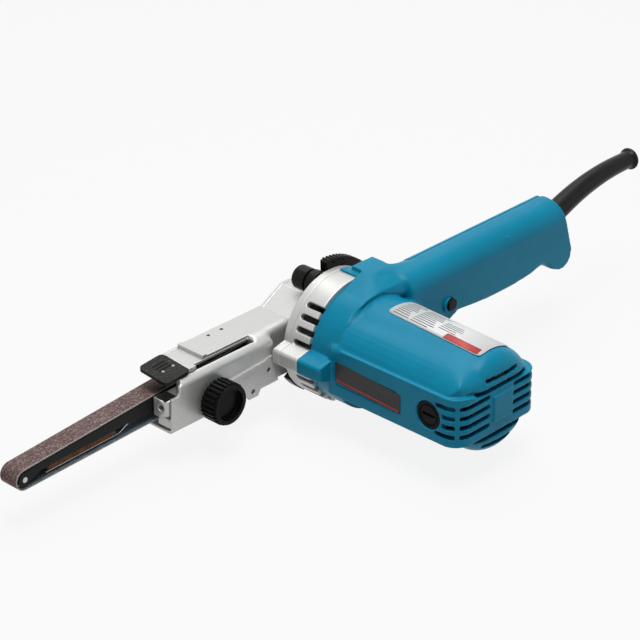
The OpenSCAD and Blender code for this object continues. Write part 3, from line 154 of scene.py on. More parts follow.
def buildEdgeWearAndHighlight():
    # outer edges made paler: partly wear from handling, partly a painted highlight along edges and ribs
    group, source, result = newGroup(
        "edgeWearAndHighlight",
        [("Colour", "NodeSocketColor", (0.5, 0.5, 0.5, 1)), ("Wear And Highlight", "NodeSocketColor", (0.8, 0.8, 0.8, 1)),
         ("Start", "NodeSocketFloat", 0.52), ("Full", "NodeSocketFloat", 0.62),
         ("Amount", "NodeSocketFloat", 0.5)],
        [("Colour", "NodeSocketColor")])
    geometry = addNode(group, "ShaderNodeNewGeometry")
    mask = mapped(group, geometry.outputs["Pointiness"], source.outputs["Start"], source.outputs["Full"], 0.0,
                  source.outputs["Amount"])
    colour = mixed(group, mask, source.outputs["Colour"], source.outputs["Wear And Highlight"])
    link(group, colour, result.inputs["Colour"])
    return group


mottleGroup = buildMottle()
grainGroup = buildGrain()
edgeWearAndHighlightGroup = buildEdgeWearAndHighlight()


def placeGroup(tree, group, values):
    node = addNode(tree, "ShaderNodeGroup", node_tree=group)
    for key, value in values.items():
        node.inputs[key].default_value = value
    return node


def finishMaterial(name, look):
    # grain is scale, depth in mm and strength; the paler edges, partly wear and partly a painted highlight,
    # take colour, start, full and amount
    material = bpy.data.materials.new(name)
    material.use_nodes = True
    tree = material.node_tree
    shader = tree.nodes["Principled BSDF"]
    shader.inputs["Metallic"].default_value = look.get("metal", 0.0)
    shader.inputs["Specular IOR Level"].default_value = look.get("specular", 0.5)
    mottle = placeGroup(tree, mottleGroup, {
        "Colour": (*look["colour"], 1), "Other": (*look["other"], 1), "Scale": look["scale"],
        "Gloss Low": look["gloss"][0], "Gloss High": look["gloss"][1]})
    colour = mottle.outputs["Colour"]
    # paler edges: partly wear, partly a painted highlight on edges and ribs
    if "wearAndHighlight" in look:
        wearAndHighlight = placeGroup(tree, edgeWearAndHighlightGroup, {
            "Wear And Highlight": (*look["wearAndHighlight"][0], 1), "Start": look["wearAndHighlight"][1], "Full": look["wearAndHighlight"][2],
            "Amount": look["wearAndHighlight"][3]})
        link(tree, colour, wearAndHighlight.inputs["Colour"])
        colour = wearAndHighlight.outputs["Colour"]
    link(tree, colour, shader.inputs["Base Color"])
    link(tree, mottle.outputs["Roughness"], shader.inputs["Roughness"])
    if "grain" in look:
        grain = placeGroup(tree, grainGroup, {"Scale": look["grain"][0]})
        bump = addNode(tree, "ShaderNodeBump")
        bump.inputs["Distance"].default_value = look["grain"][1] * mm
        bump.inputs["Strength"].default_value = look["grain"][2]
        link(tree, grain.outputs["Height"], bump.inputs["Height"])
        link(tree, bump.outputs["Normal"], shader.inputs["Normal"])
    return material


# the pale edge colours below are partly wear and partly a painted highlight on edges and ribs
finishes = {
    "bluePlastic": dict(colour=(0.002, 0.230, 0.376), other=(0.0018, 0.211, 0.348), scale=45.0,
                        gloss=(0.34, 0.40), specular=0.15, grain=(2600.0, 0.05, 0.25),
                        wearAndHighlight=((0.012, 0.30, 0.47), 0.53, 0.62, 0.35)),
    "silverPaint": dict(colour=(0.565, 0.565, 0.55), other=(0.52, 0.52, 0.505), scale=70.0,
                        gloss=(0.36, 0.46), metal=0.5, specular=0.3, grain=(1900.0, 0.06, 0.3),
                        wearAndHighlight=((0.70, 0.70, 0.68), 0.53, 0.63, 0.5)),
    # lighter copy of the silver paint for the upward-facing top plate: the extra lightness is painted light
    "litTopSilver": dict(colour=(0.575, 0.575, 0.56), other=(0.535, 0.535, 0.52), scale=90.0,
                         gloss=(0.3, 0.4), metal=0.5, specular=0.3, grain=(1600.0, 0.03, 0.25)),
    "blackPlastic": dict(colour=(0.0045, 0.005, 0.005), other=(0.0065, 0.0065, 0.006), scale=90.0,
                         gloss=(0.26, 0.36), specular=0.07, grain=(2400.0, 0.05, 0.25),
                         wearAndHighlight=((0.09, 0.095, 0.095), 0.56, 0.66, 0.6)),
    "wornBlack": dict(colour=(0.009, 0.009, 0.0075), other=(0.013, 0.0125, 0.010), scale=120.0,
                      gloss=(0.24, 0.34), specular=0.1, grain=(2400.0, 0.05, 0.25),
                      wearAndHighlight=((0.12, 0.11, 0.10), 0.57, 0.68, 0.6)),
    "rubber": dict(colour=(0.006, 0.0062, 0.0065), other=(0.009, 0.009, 0.009), scale=60.0,
                   gloss=(0.26, 0.36), specular=0.14, grain=(1500.0, 0.05, 0.2)),
    "steel": dict(colour=(0.50, 0.505, 0.51), other=(0.40, 0.405, 0.41), scale=160.0, gloss=(0.22, 0.36),
                  metal=1.0, grain=(3000.0, 0.02, 0.2)),
    # dark steel; on the side plate's screws this darkness is painted shade of the holes they sit in
    "darkSteelAndHoleShade": dict(colour=(0.055, 0.055, 0.055), other=(0.085, 0.083, 0.08), scale=160.0,
                      gloss=(0.3, 0.45), metal=0.8, grain=(1800.0, 0.04, 0.3)),
    "blackBar": dict(colour=(0.0075, 0.0082, 0.0085), other=(0.012, 0.012, 0.012), scale=120.0,
                     gloss=(0.34, 0.5), specular=0.12, grain=(1800.0, 0.04, 0.3),
                     wearAndHighlight=((0.10, 0.10, 0.105), 0.53, 0.62, 0.6)),
    "laminations": dict(colour=(0.16, 0.16, 0.165), other=(0.11, 0.11, 0.115), scale=300.0,
                        gloss=(0.4, 0.55), metal=0.8, grain=(2500.0, 0.05, 0.4)),
    "copper": dict(colour=(0.42, 0.16, 0.06), other=(0.30, 0.10, 0.04), scale=500.0, gloss=(0.3, 0.45),
                   metal=0.8, grain=(1200.0, 0.15, 0.5)),
    "brass": dict(colour=(0.52, 0.36, 0.12), other=(0.42, 0.28, 0.09), scale=200.0, gloss=(0.28, 0.4),
                  metal=1.0),
    "carbon": dict(colour=(0.022, 0.022, 0.022), other=(0.035, 0.035, 0.035), scale=400.0,
                   gloss=(0.5, 0.7)),
    "platenCork": dict(colour=(0.24, 0.10, 0.04), other=(0.13, 0.052, 0.023), scale=260.0, gloss=(0.6, 0.8),
                       specular=0.2, grain=(900.0, 0.2, 0.6)),
    "beltCloth": dict(colour=(0.15, 0.20, 0.235), other=(0.095, 0.125, 0.15), scale=220.0, gloss=(0.6, 0.8),
                      specular=0.2, grain=(1600.0, 0.15, 0.5)),
    "platePrint": dict(colour=(0.046, 0.045, 0.044), other=(0.058, 0.056, 0.055), scale=80.0,
                       gloss=(0.25, 0.35), specular=0.15, grain=(1500.0, 0.02, 0.2)),
    "redPrint": dict(colour=(0.50, 0.035, 0.045), other=(0.43, 0.028, 0.036), scale=140.0, gloss=(0.3, 0.4),
                     specular=0.2),
    "labelFilm": dict(colour=(0.78, 0.785, 0.78), other=(0.73, 0.735, 0.735), scale=60.0, gloss=(0.3, 0.4),
                      specular=0.3, grain=(800.0, 0.03, 0.2)),
    "labelInk": dict(colour=(0.045, 0.047, 0.05), other=(0.075, 0.077, 0.08), scale=300.0, gloss=(0.4, 0.5),
                     specular=0.2),
    "labelRed": dict(colour=(0.56, 0.085, 0.085), other=(0.49, 0.065, 0.066), scale=200.0, gloss=(0.3, 0.4),
                     specular=0.2),
    "paleDot": dict(colour=(0.40, 0.39, 0.36), other=(0.32, 0.31, 0.29), scale=400.0, gloss=(0.4, 0.5)),
}
finish = {name: finishMaterial(name, look) for name, look in finishes.items()}


beltLook = {"grit": (0.150, 0.096, 0.090), "dark": (0.062, 0.038, 0.037), "pale": (0.33, 0.25, 0.235),
            "edge": (0.50, 0.45, 0.41), "edgeSpan": (0.5, 0.1), "edgeShare": 0.8, "grains": 1500.0,
            "clouds": 90.0, "cloudShade": 0.8, "darkGrains": (0.55, 0.8, 0.0, 0.85),
            "paleGrains": (0.72, 0.92, 0.0, 0.75), "gloss": (0.55, 0.75), "specular": 0.2,
            "bump": (0.16, 0.7)}


def beltMaterial():
    # open coat of grit: speckle of dark and pale grains, with the cloth showing pale along the cut edges
    material = bpy.data.materials.new("beltGrit")
    material.use_nodes = True
    tree = material.node_tree
    shader = tree.nodes["Principled BSDF"]
    shader.inputs["Specular IOR Level"].default_value = beltLook["specular"]
    coords = addNode(tree, "ShaderNodeTexCoord")
    grains = addNode(tree, "ShaderNodeTexVoronoi")
    grains.inputs["Scale"].default_value = beltLook["grains"]
    link(tree, coords.outputs["Object"], grains.inputs["Vector"])
    mottle = placeGroup(tree, mottleGroup, {
        "Colour": (*beltLook["grit"], 1), "Scale": beltLook["clouds"],
        "Other": tuple(c * beltLook["cloudShade"] for c in beltLook["grit"]) + (1,),
        "Gloss Low": beltLook["gloss"][0], "Gloss High": beltLook["gloss"][1]})
    split = addNode(tree, "ShaderNodeSeparateColor")
    link(tree, grains.outputs["Color"], split.inputs["Color"])
    dark = mapped(tree, split.outputs["Red"], *beltLook["darkGrains"])
    pale = mapped(tree, split.outputs["Green"], *beltLook["paleGrains"])
    colour = mixed(tree, dark, mottle.outputs["Colour"], (*beltLook["dark"], 1))
    colour = mixed(tree, pale, colour, (*beltLook["pale"], 1))
    axes = addNode(tree, "ShaderNodeSeparateXYZ")
    link(tree, coords.outputs["Object"], axes.inputs["Vector"])
    centre = addNode(tree, "ShaderNodeMath", operation="SUBTRACT")
    centre.inputs[1].default_value = beltMiddle
    link(tree, axes.outputs["Y"], centre.inputs[0])
    off = addNode(tree, "ShaderNodeMath", operation="ABSOLUTE")
    link(tree, centre.outputs[0], off.inputs[0])
    edgeFrom, edgeTo = (beltHalf - inset * mm for inset in beltLook["edgeSpan"])
    edge = mapped(tree, off.outputs[0], edgeFrom, edgeTo, 0.0, beltLook["edgeShare"])
    colour = mixed(tree, edge, colour, (*beltLook["edge"], 1))
    link(tree, colour, shader.inputs["Base Color"])
    link(tree, mottle.outputs["Roughness"], shader.inputs["Roughness"])
    bump = addNode(tree, "ShaderNodeBump")
    bump.inputs["Distance"].default_value = beltLook["bump"][0] * mm
    bump.inputs["Strength"].default_value = beltLook["bump"][1]
    link(tree, grains.outputs["Distance"], bump.inputs["Height"])
    link(tree, bump.outputs["Normal"], shader.inputs["Normal"])
    return material


beltLow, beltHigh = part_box("abrasive_belt")
beltMiddle = (beltLow.y + beltHigh.y) / 2
beltHalf = (beltHigh.y - beltLow.y) / 2
finish["beltGrit"] = beltMaterial()
print("finishes made:", len(finish))


# helpers that make pieces

def place(name, mesh, look, body, stands=(), smooth=True):
    obj = bpy.data.objects.new(name, mesh)
    scene.collection.objects.link(obj)
    mesh.materials.clear()
    mesh.materials.append(finish[look])
    mesh.polygons.foreach_set("use_smooth", [smooth] * len(mesh.polygons))
    mesh.update()
    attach(obj, body)
    if stands:
        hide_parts(*stands)
    return obj


def meshFrom(name, points, faces):
    mesh = bpy.data.meshes.new(name)
    mesh.from_pydata([tuple(p) for p in points], [], faces)
    mesh.validate()
    return mesh


def evaluated(mesh, modifier, **values):
    # one modifier, applied to a mesh that is not yet in the scene
    holder = bpy.data.objects.new("holder", mesh)
    scene.collection.objects.link(holder)
    step = holder.modifiers.new("step", modifier)
    for key, value in values.items():
        setattr(step, key, value)
    bpy.context.view_layer.update()
    result = bpy.data.meshes.new_from_object(holder.evaluated_get(bpy.context.evaluated_depsgraph_get()))
    bpy.data.objects.remove(holder)
    return result


softening = {"weld": 0.002, "pull": 0.5, "push": 0.51, "melt": 0.7}  # weld in mm, then shares of a step


def pulled(at, a, b, degree):
    # step of each point towards the middle of its neighbours
    count = len(at)
    near = [np.bincount(a, at[b, k], count) + np.bincount(b, at[a, k], count) for k in range(3)]
    return np.stack(near, 1) / degree[:, None] - at


def melted(at, a, b, degree, start, end, radius, rounds):
    # lets the form flow within a radius of the line from start to end, in mm
    start, end = np.array(start) * mm, np.array(end) * mm
    along = end - start
    share = np.clip((at - start) @ along / max(along @ along, 1e-12), 0, 1)
    away = np.linalg.norm(at - start - share[:, None] * along, axis=1) / (radius * mm)
    weight = np.clip(1.0 - away, 0, 1)
    weight = weight * weight * (3 - 2 * weight)
    touched = (weight[a] > 0) | (weight[b] > 0)
    used, pairs = np.unique(np.concatenate([a[touched], b[touched]]), return_inverse=True)
    first, second = pairs.reshape(2, -1)
    part = at[used]
    for step in range(rounds):
        part += softening["melt"] * weight[used, None] * pulled(part, first, second, degree[used])
    at[used] = part


def relaxed(mesh, passes, melts):
    # rounds the edges without shrinking the form, then melts the chosen places
    count = len(mesh.vertices)
    flat = np.empty(count * 3, np.float32)
    mesh.vertices.foreach_get("co", flat)
    at = flat.reshape(-1, 3).astype(float)
    pairs = np.empty(len(mesh.edges) * 2, np.int32)
    mesh.edges.foreach_get("vertices", pairs)
    a, b = pairs.reshape(-1, 2).T
    degree = np.maximum(np.bincount(a, minlength=count) + np.bincount(b, minlength=count), 1)
    for step in range(passes):
        at += softening["pull"] * pulled(at, a, b, degree)
        at -= softening["push"] * pulled(at, a, b, degree)
    for melt in melts:
        melted(at, a, b, degree, *melt)
    mesh.vertices.foreach_set("co", at.astype(np.float32).ravel())
    mesh.update()


def within(point, low, high):
    return all(a * mm <= c <= b * mm for c, a, b in zip(point, low, high))


def softened(piece):
    # a copy of the solid with soft edges, as a mould or a casting leaves them
    copy = nodes[piece["node"]].data.copy()
    work = bmesh.new()
    work.from_mesh(copy)
    bmesh.ops.remove_doubles(work, verts=work.verts, dist=softening["weld"] * mm)
    for low, high, axis, level in piece.get("pushed", []):
        for vertex in work.verts:
            if within(vertex.co, low, high):
                vertex.co[axis] = level * mm
    spans = [[v.co / mm for v in work.verts if within(v.co, *box)] for box in piece.get("bridged", [])]
    for points in piece.get("fills", []) + spans:  # corners that the mould fills in
        bmesh.ops.convex_hull(work, input=[work.verts.new(Vector(p) * mm) for p in points])
    work.to_mesh(copy)
    work.free()
    mesh = evaluated(copy, "REMESH", mode="VOXEL", voxel_size=piece["voxel"] * mm)
    relaxed(mesh, piece["passes"], piece.get("melts", []))
    mesh = evaluated(mesh, "DECIMATE", ratio=piece["keep"])
    mesh.name = piece["node"] + "Soft"
    return mesh


def deepened(mesh, node, depth, gain):
    # sinks the shallow grooves round a knob that turns about a line along Y
    low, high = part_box(node)
    middle, outer = (low + high) / 2, (high.x - low.x) / 2
    for vertex in mesh.vertices:
        off = Vector((vertex.co.x - middle.x, 0, vertex.co.z - middle.z))
        if 0 < outer - off.length < depth * mm:
            grow = outer - gain * (outer - off.length) - off.length
            vertex.co += off.normalized() * grow


tab = {"rise": 0.09, "fall": 0.09}  # slope up to the far side, slope down to the nose
tabLow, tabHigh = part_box("tension_tab")


def leaned(mesh):
    # tips the tab about its near corner on the motor's side
    for vertex in mesh.vertices:
        vertex.co.z += (vertex.co.y - tabLow.y) * tab["rise"] + (vertex.co.x - tabHigh.x) * tab["fall"]
    return mesh


def faceOutwards(mesh):
    work = bmesh.new()
    work.from_mesh(mesh)
    bmesh.ops.recalc_face_normals(work, faces=work.faces)
    work.to_mesh(mesh)
    work.free()


def slab(outline, normal, low, high, bevel=0.0):
    # flat plate: outline in mm in the two axes other than its normal, in axis order
    points, faces = [], []
    count = len(outline)
    for level in (low, high):
        for u, v in outline:
            p = {"x": (level, u, v), "y": (u, level, v), "z": (u, v, level)}[normal]
            points.append(tuple(c * mm for c in p))
    faces.append(tuple(range(count)))
    faces.append(tuple(range(count, 2 * count))[::-1])
    for k in range(count):
        n = (k + 1) % count
        faces.append((k, n, count + n, count + k))
    mesh = meshFrom("slab", points, faces)
    faceOutwards(mesh)
    if bevel:
        mesh = evaluated(mesh, "BEVEL", width=bevel * mm, segments=2, limit_method="ANGLE")
    return mesh


def joined(meshes):
    work = bmesh.new()
    for mesh in meshes:
        work.from_mesh(mesh)
    result = bpy.data.meshes.new("joined")
    work.to_mesh(result)
    work.free()
    return result


# moulded and cast bodies

def softPiece(node, finishName, body, slotName, voxel, passes, keep, **shaping):
    # voxel in mm, passes of edge softening, share of faces kept
    return dict(node=node, finish=finishName, body=body, slot=slotName, voxel=voxel, passes=passes, keep=keep,
                **shaping)


softPieces = {
    # melts: line from, line to, radius and rounds, where one form flows into the next
    # fills: corners of the lumps that the mould fills in; bridged: boxes whose points are spanned
    # pushed: boxes whose points go to one level on one axis
    "motorShell": softPiece(
        "motor_housing", "bluePlastic", "motor_body", "blue_plastic", 0.5, 6, 0.35,
        melts=[
            ((30, 89, 32), (30, 89, 32), 18, 160), ((27, 82, 18), (27, 82, 18), 12, 60),  # root of the grip
            ((-11, 12, 25.7), (-17, 84, 24.5), 7, 100),  # flank into the barrel
            ((-19, 11, 21), (-24, 15, 19), 9, 260),  # flank into the rear dome
            ((-2, 92, 34.5), (4, 97, 36.5), 7.5, 60),  # collar into the shoulder
            ((-33.8, 86, 13), (-33.8, 92, 12), 6, 80),  # front end of the flat side
            ((128, 80, 1), (128, 97, 1), 10, 120),  # end of the finger space
            ((60, 80.5, 2), (126, 80.5, 2), 5, 40),  # belly of the grip
            ((40, 97, 36.5), (143, 97, 36.5), 2.2, 40),  # seam on top of the grip
            ((-41, 87.5, 0), (-41, 87.5, 0), 7.5, 60)],  # end of the near lug
        fills=[
            # ramp from the collar up to the shoulder and the root of the grip
            [(0, 86.3, 33), (8, 86.3, 32), (14, 86.3, 29.9), (20, 86.3, 26.2), (-9, 88, 31.7),
             (-9, 103.3, 31.7), (5.8, 97.5, 38.3), (5.8, 103.3, 38.3), (21.6, 96.9, 38.3), (21.6, 94, 37.4),
             (36, 94, 36.2), (36, 96.9, 36), (36, 85, 32.5), (30, 82, 24), (27, 83, 24.5), (24, 85, 25),
             (20, 96.9, 20)],
            # front of the shoulder, over the silver ring
            [(x, y, z) for y in (96.9, 110.4)
             for x, z in ((5.8, 35.4), (5.8, 38.3), (21.6, 38.3), (21.6, 31.4))]],
        # corner between the flank and the rear dome, closed end of the near lug
        bridged=[((-33, 1, 14.2), (-13, 24, 28)), ((-43.3, 87.4, -4.6), (-33.5, 92.6, 4.6))],
        pushed=[((5, 85, 38.3), (25, 111, 45), 2, 38.3)]),  # flat top of the shoulder
    "gripShell": softPiece(
        "grip_cover", "bluePlastic", "motor_body", "blue_plastic", 0.45, 6, 0.4,
        melts=[((128, 97, 1), (128, 105, 1), 10, 120), ((60, 104.5, 2), (126, 104.5, 2), 5, 40),
               ((40, 97, 36.5), (143, 97, 36.5), 2.2, 40)]),
    "fanRing": softPiece("fan_housing", "silverPaint", "motor_body", "silver_casting", 0.35, 3, 0.4),
    "bearingRing": softPiece("bearing_cover", "silverPaint", "motor_body", "silver_casting", 0.35, 3, 0.4),
    "armShell": softPiece(
        "arm_housing", "silverPaint", "arm", "silver_casting", 0.35, 4, 0.4,
        melts=[((-112, 122.6, 10.3), (-48, 122.6, 10.3), 4, 45), ((-41, 124, 10), (-41, 130, 10), 6, 60),
               ((-47, 126.4, 12), (-25, 126.4, 12), 6.5, 150)],
        # the arm's top past the slot, up to the level of the top plate
        fills=[[(x, y, z) for x in (-50.8, -22.5) for y in (126.7, 133) for z in (6, 11.8)],
               [(x, y, z) for x in (-50.8, -40.5) for y, z in ((124.5, 9.9), (128, 11.8), (128, 6))]]),
    "armCover": softPiece("belt_side_cover", "silverPaint", "arm", "silver_casting", 0.4, 3, 0.4),
    "armSidePlate": softPiece("arm_side_plate", "silverPaint", "arm", "silver_casting", 0.2, 2, 0.5),
    # top plate in the lighter silver copy: painted light on its upward face
    "armTopPlate": softPiece(
        "top_plate", "litTopSilver", "arm", "silver_casting", 0.2, 2, 0.4,
        pushed=[((-50.9, 127, 10), (-20, 127.2, 13), 1, 131.0)]),  # near edge past the slot
    "slideBlock": softPiece(
        "tension_slide", "silverPaint", "belt_carriage", "silver_casting", 0.25, 3, 0.5,
        melts=[((-116, 124.6, -9), (-116, 124.6, 0), 5, 300)]),
    "tensionTab": softPiece("tension_tab", "wornBlack", "belt_carriage", "black_plastic", 0.16, 3, 0.5),
    "trackingKnob": softPiece(
        "tracking_knob", "blackPlastic", "tracking_knob", "black_plastic", 0.16, 2, 0.5,
        grooves=(0.65, 2.2)),  # depth in mm that is reached, gain
    "lockRing": softPiece("lock_ring", "wornBlack", "lock_ring", "black_plastic", 0.2, 2, 0.5),
    "lockKnob": softPiece("lock_knob", "wornBlack", "lock_ring", "black_plastic", 0.16, 3, 0.5),
    "triggerBlade": softPiece("trigger", "blackPlastic", "trigger", "black_plastic", 0.25, 5, 0.5),
    "lockButton": softPiece(
        "lock_button", "wornBlack", "lock_button", "black_plastic", 0.14, 4, 0.5,
        melts=[((50, 77.5, 10.1), (50, 77.5, 10.1), 5, 90)]),
    "brushCaps": softPiece("brush_caps", "blackPlastic", "motor_body", "black_plastic", 0.16, 2, 0.5),
    "beltBar": softPiece("belt_arm", "blackBar", "belt_carriage", "dark_steel", 0.25, 2, 0.4),
}
for name, piece in softPieces.items():
    mesh = softened(piece)
    if "grooves" in piece:
        deepened(mesh, piece["node"], *piece["grooves"])
    if name == "tensionTab":
        leaned(mesh)
    place(name, mesh, piece["finish"], piece["body"], [piece["node"]])
print("soft pieces made:", len(softPieces))


# abrasive belt, as a grit layer on a cloth layer

belt = {"clear": 0.25, "cloth": 0.35, "thick": 0.9, "gap": 0.01, "inset": 0.1, "edge": 0.12, "edgeAngle": 1.2,
        "bend": 40, "run": 60, "longStep": 50}


def loopPoints(offset):
    low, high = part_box("drive_pulley")
    pulleyR = (high.x - low.x) / 2 / mm
    low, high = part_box("nose_roller")
    noseR = (high.x - low.x) / 2 / mm
    noseX, noseZ = (low.x + high.x) / 2 / mm, (low.z + high.z) / 2 / mm
    reach = math.hypot(noseX, noseZ)
    phi = math.atan2(noseZ, noseX) % (2 * math.pi)
    beta = math.acos((pulleyR - noseR) / reach)
    points = []
    for (x, z, radius, start, end) in ((0, 0, pulleyR, phi + beta - 2 * math.pi, phi - beta),
                                       (noseX, noseZ, noseR, phi - beta, phi + beta)):
        for k in range(belt["bend"] + 1):
            turn = start + (end - start) * k / belt["bend"]
            out = radius + offset
            points.append((x + out * math.cos(turn), z + out * math.sin(turn)))
    full = []
    for k, point in enumerate(points):
        full.append(point)
        after = points[(k + 1) % len(points)]
        if math.dist(point, after) > belt["longStep"]:  # the straight runs get their own steps
            full += [(point[0] + (after[0] - point[0]) * i / belt["run"],
                      point[1] + (after[1] - point[1]) * i / belt["run"]) for i in range(1, belt["run"])]
    return full


def loopLayer(inner, outer, yLow, yHigh):
    inside, outside = loopPoints(inner), loopPoints(outer)
    count = len(inside)
    points = [(x * mm, y * mm, z * mm) for ring, y in ((inside, yLow), (outside, yLow), (outside, yHigh),
                                                       (inside, yHigh)) for x, z in ring]
    faces = []
    for k in range(count):
        n = (k + 1) % count
        for side in range(4):
            other = (side + 1) % 4
            faces.append((side * count + k, side * count + n, other * count + n, other * count + k))
    mesh = meshFrom("loop", points, faces)
    faceOutwards(mesh)
    return evaluated(mesh, "BEVEL", width=belt["edge"] * mm, segments=2, limit_method="ANGLE",
                     angle_limit=belt["edgeAngle"])


beltY = (beltLow.y / mm, beltHigh.y / mm)
clothTop = belt["clear"] + belt["cloth"]
place("beltCloth", loopLayer(belt["clear"], clothTop, beltY[0] + belt["inset"], beltY[1] - belt["inset"]),
      "beltCloth", "arm")
place("beltGrit", loopLayer(clothTop + belt["gap"], belt["clear"] + belt["thick"], *beltY),
      "beltGrit", "arm", ["abrasive_belt"])
print("belt made")


# cord guard: a bent rubber sleeve with a rolled lip

guard = {"hole": 5.7, "root": 6.5, "outer": 4.9, "bore": 3.6, "bend": 150.0, "angle": 27.0, "mouth": 12.0,
         "lip": 6.4, "lipHalf": 1.7, "lipNeck": 0.6, "lipWall": 0.7, "flange": 7.5, "flangeLong": 2.6,
         "inside": 8.0, "sides": 48, "steps": 120}


def guardMesh():
    low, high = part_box("cord_guard")
    mouthX = high.x / mm
    middleY = (low.y + high.y) / 2 / mm
    inlet = next(mount for mount in frame["record"]["mounts"] if mount["name"] == "cord_inlet")
    topZ = inlet["pos_m"][2] / mm  # middle of the mouth
    bendX = mouthX - guard["mouth"]
    bend, angle, neck = guard["bend"], math.radians(guard["angle"]), guard["outer"] - guard["lipNeck"]
    arcLong = angle * bend
    total = arcLong + guard["mouth"]
    stations = []
    for k in range(guard["steps"] + 1):
        along = total * k / guard["steps"]
        fromMouth = total - along
        if along < arcLong:
            turn = angle - along / bend
            centre = (bendX - bend * math.sin(turn), topZ - bend * (1 - math.cos(turn)))
            up = (-math.sin(turn), math.cos(turn))
        else:
            centre = (bendX + along - arcLong, topZ)
            up = (0.0, 1.0)
        radius = guard["hole"]
        if along > guard["inside"]:
            radius = guard["root"] + (guard["outer"] - guard["root"]) * along / total
        if fromMouth < 2 * guard["lipHalf"]:  # rolled lip
            part = (fromMouth - guard["lipHalf"]) / guard["lipHalf"]
            radius = neck + (guard["lip"] - neck) * math.sqrt(max(0, 1 - part * part))
            least = guard["bore"] + guard["lipWall"] if fromMouth < guard["lipHalf"] else guard["outer"]
            radius = max(radius, least)
        if along < guard["flangeLong"]:
            radius = guard["flange"]
        stations.append((centre, up, radius))
    points, faces = [], []
    sides = guard["sides"]
    rings = stations + [(centre, up, guard["bore"]) for centre, up, radius in reversed(stations)]
    for (x, z), (ux, uz), radius in rings:
        for k in range(sides):
            turn = 2 * math.pi * k / sides
            side, lift = radius * math.cos(turn), radius * math.sin(turn)
            points.append(((x + ux * lift) * mm, (middleY + side) * mm, (z + uz * lift) * mm))
    for i in range(len(rings)):
        j = (i + 1) % len(rings)
        for k in range(sides):
            n = (k + 1) % sides
            faces.append((i * sides + k, i * sides + n, j * sides + n, j * sides + k))
    mesh = meshFrom("guard", points, faces)
    faceOutwards(mesh)
    return mesh


place("cordGuard", guardMesh(), "rubber", "motor_body", ["cord_guard"])
print("guard made")


# plates and label

plate = {"rearTop": 4.2, "frontLow": -4.9, "frontUp": 1.9, "back": 3.0, "proud": 0.15, "thick": 0.5,
         "bevel": 0.15, "line": 1.0, "lineUp": 0.9, "lineInset": 1.0, "lineProud": 0.04, "lineDeep": 0.1}
low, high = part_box("name_plate")
plateX = low.x / mm - plate["proud"]
plateRear, plateFront = low.y / mm - plate["back"], high.y / mm
corners = {"rearLow": (plateRear, low.z / mm), "frontLow": (plateFront, plate["frontLow"]),
           "frontTop": (plateFront, high.z / mm + plate["frontUp"]), "rearTop": (plateRear, plate["rearTop"])}
outline = [corners[k] for k in ("rearLow", "frontLow", "frontTop", "rearTop")]
place("namePlate", slab(outline, "x", plateX, plateX + plate["thick"], plate["bevel"]), "platePrint",
      "motor_body", ["name_plate"], smooth=False)


def plateLine():
    # strip along the plate's foot
    (rearY, rearZ), (frontY, frontZ) = corners["rearLow"], corners["frontLow"]
    rearY, frontY = rearY + plate["lineInset"], frontY - plate["lineInset"]
    foot, head = plate["lineUp"], plate["lineUp"] + plate["line"]
    strip = [(rearY, rearZ + foot), (frontY, frontZ + foot), (frontY, frontZ + head), (rearY, rearZ + head)]
    return slab(strip, "x", plateX - plate["lineProud"], plateX + plate["lineDeep"])


place("plateLine", plateLine(), "redPrint", "motor_body", smooth=False)

label = {"lift": 0.12, "thick": 0.1, "turn": (51.5, 102.0), "skew": 4.5, "corner": 2.5, "steps": 60,
         "back": 2.0, "inkGap": 0.02, "inkThick": 0.02}
low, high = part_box("rating_label")
labelY = (low.y / mm - label["back"], high.y / mm)
barrel = {"rearR": 28.0, "frontR": 30.0, "from": 1.2, "to": 86.0}  # radius at both ends, place of the ends


def barrelPatch(ends, turns, lift, thick, corner, steps):
    # thin film on the barrel, between two stations and two angles, with round corners
    points, faces = [], []
    for level in (lift, lift + thick):
        for side in (0, 1):
            for k in range(steps + 1):
                turn = turns[0] + (turns[1] - turns[0]) * k / steps
                edge = math.radians(min(turn - turns[0], turns[1] - turn)) * barrel["rearR"]
                inset = corner - math.sqrt(corner ** 2 - max(corner - edge, 0) ** 2)
                y = ends[side] + (inset if side == 0 else -inset)
                part = (y - barrel["from"]) / (barrel["to"] - barrel["from"])
                radius = barrel["rearR"] + (barrel["frontR"] - barrel["rearR"]) * part + level
                turn = math.radians(turn + label["skew"] * (labelY[1] - y) / (labelY[1] - labelY[0]))
                points.append((radius * math.cos(turn) * mm, y * mm, radius * math.sin(turn) * mm))
    row = steps + 1
    for k in range(steps):
        faces.append((k, k + 1, row + k + 1, row + k))
        faces.append((2 * row + k, 3 * row + k, 3 * row + k + 1, 2 * row + k + 1))
        faces.append((k, 2 * row + k, 2 * row + k + 1, k + 1))
        faces.append((row + k, row + k + 1, 3 * row + k + 1, 3 * row + k))
    faces.append((0, row, 3 * row, 2 * row))
    faces.append((steps, 2 * row + steps, 3 * row + steps, row + steps))
    mesh = meshFrom("patch", points, faces)
    faceOutwards(mesh)
    return mesh


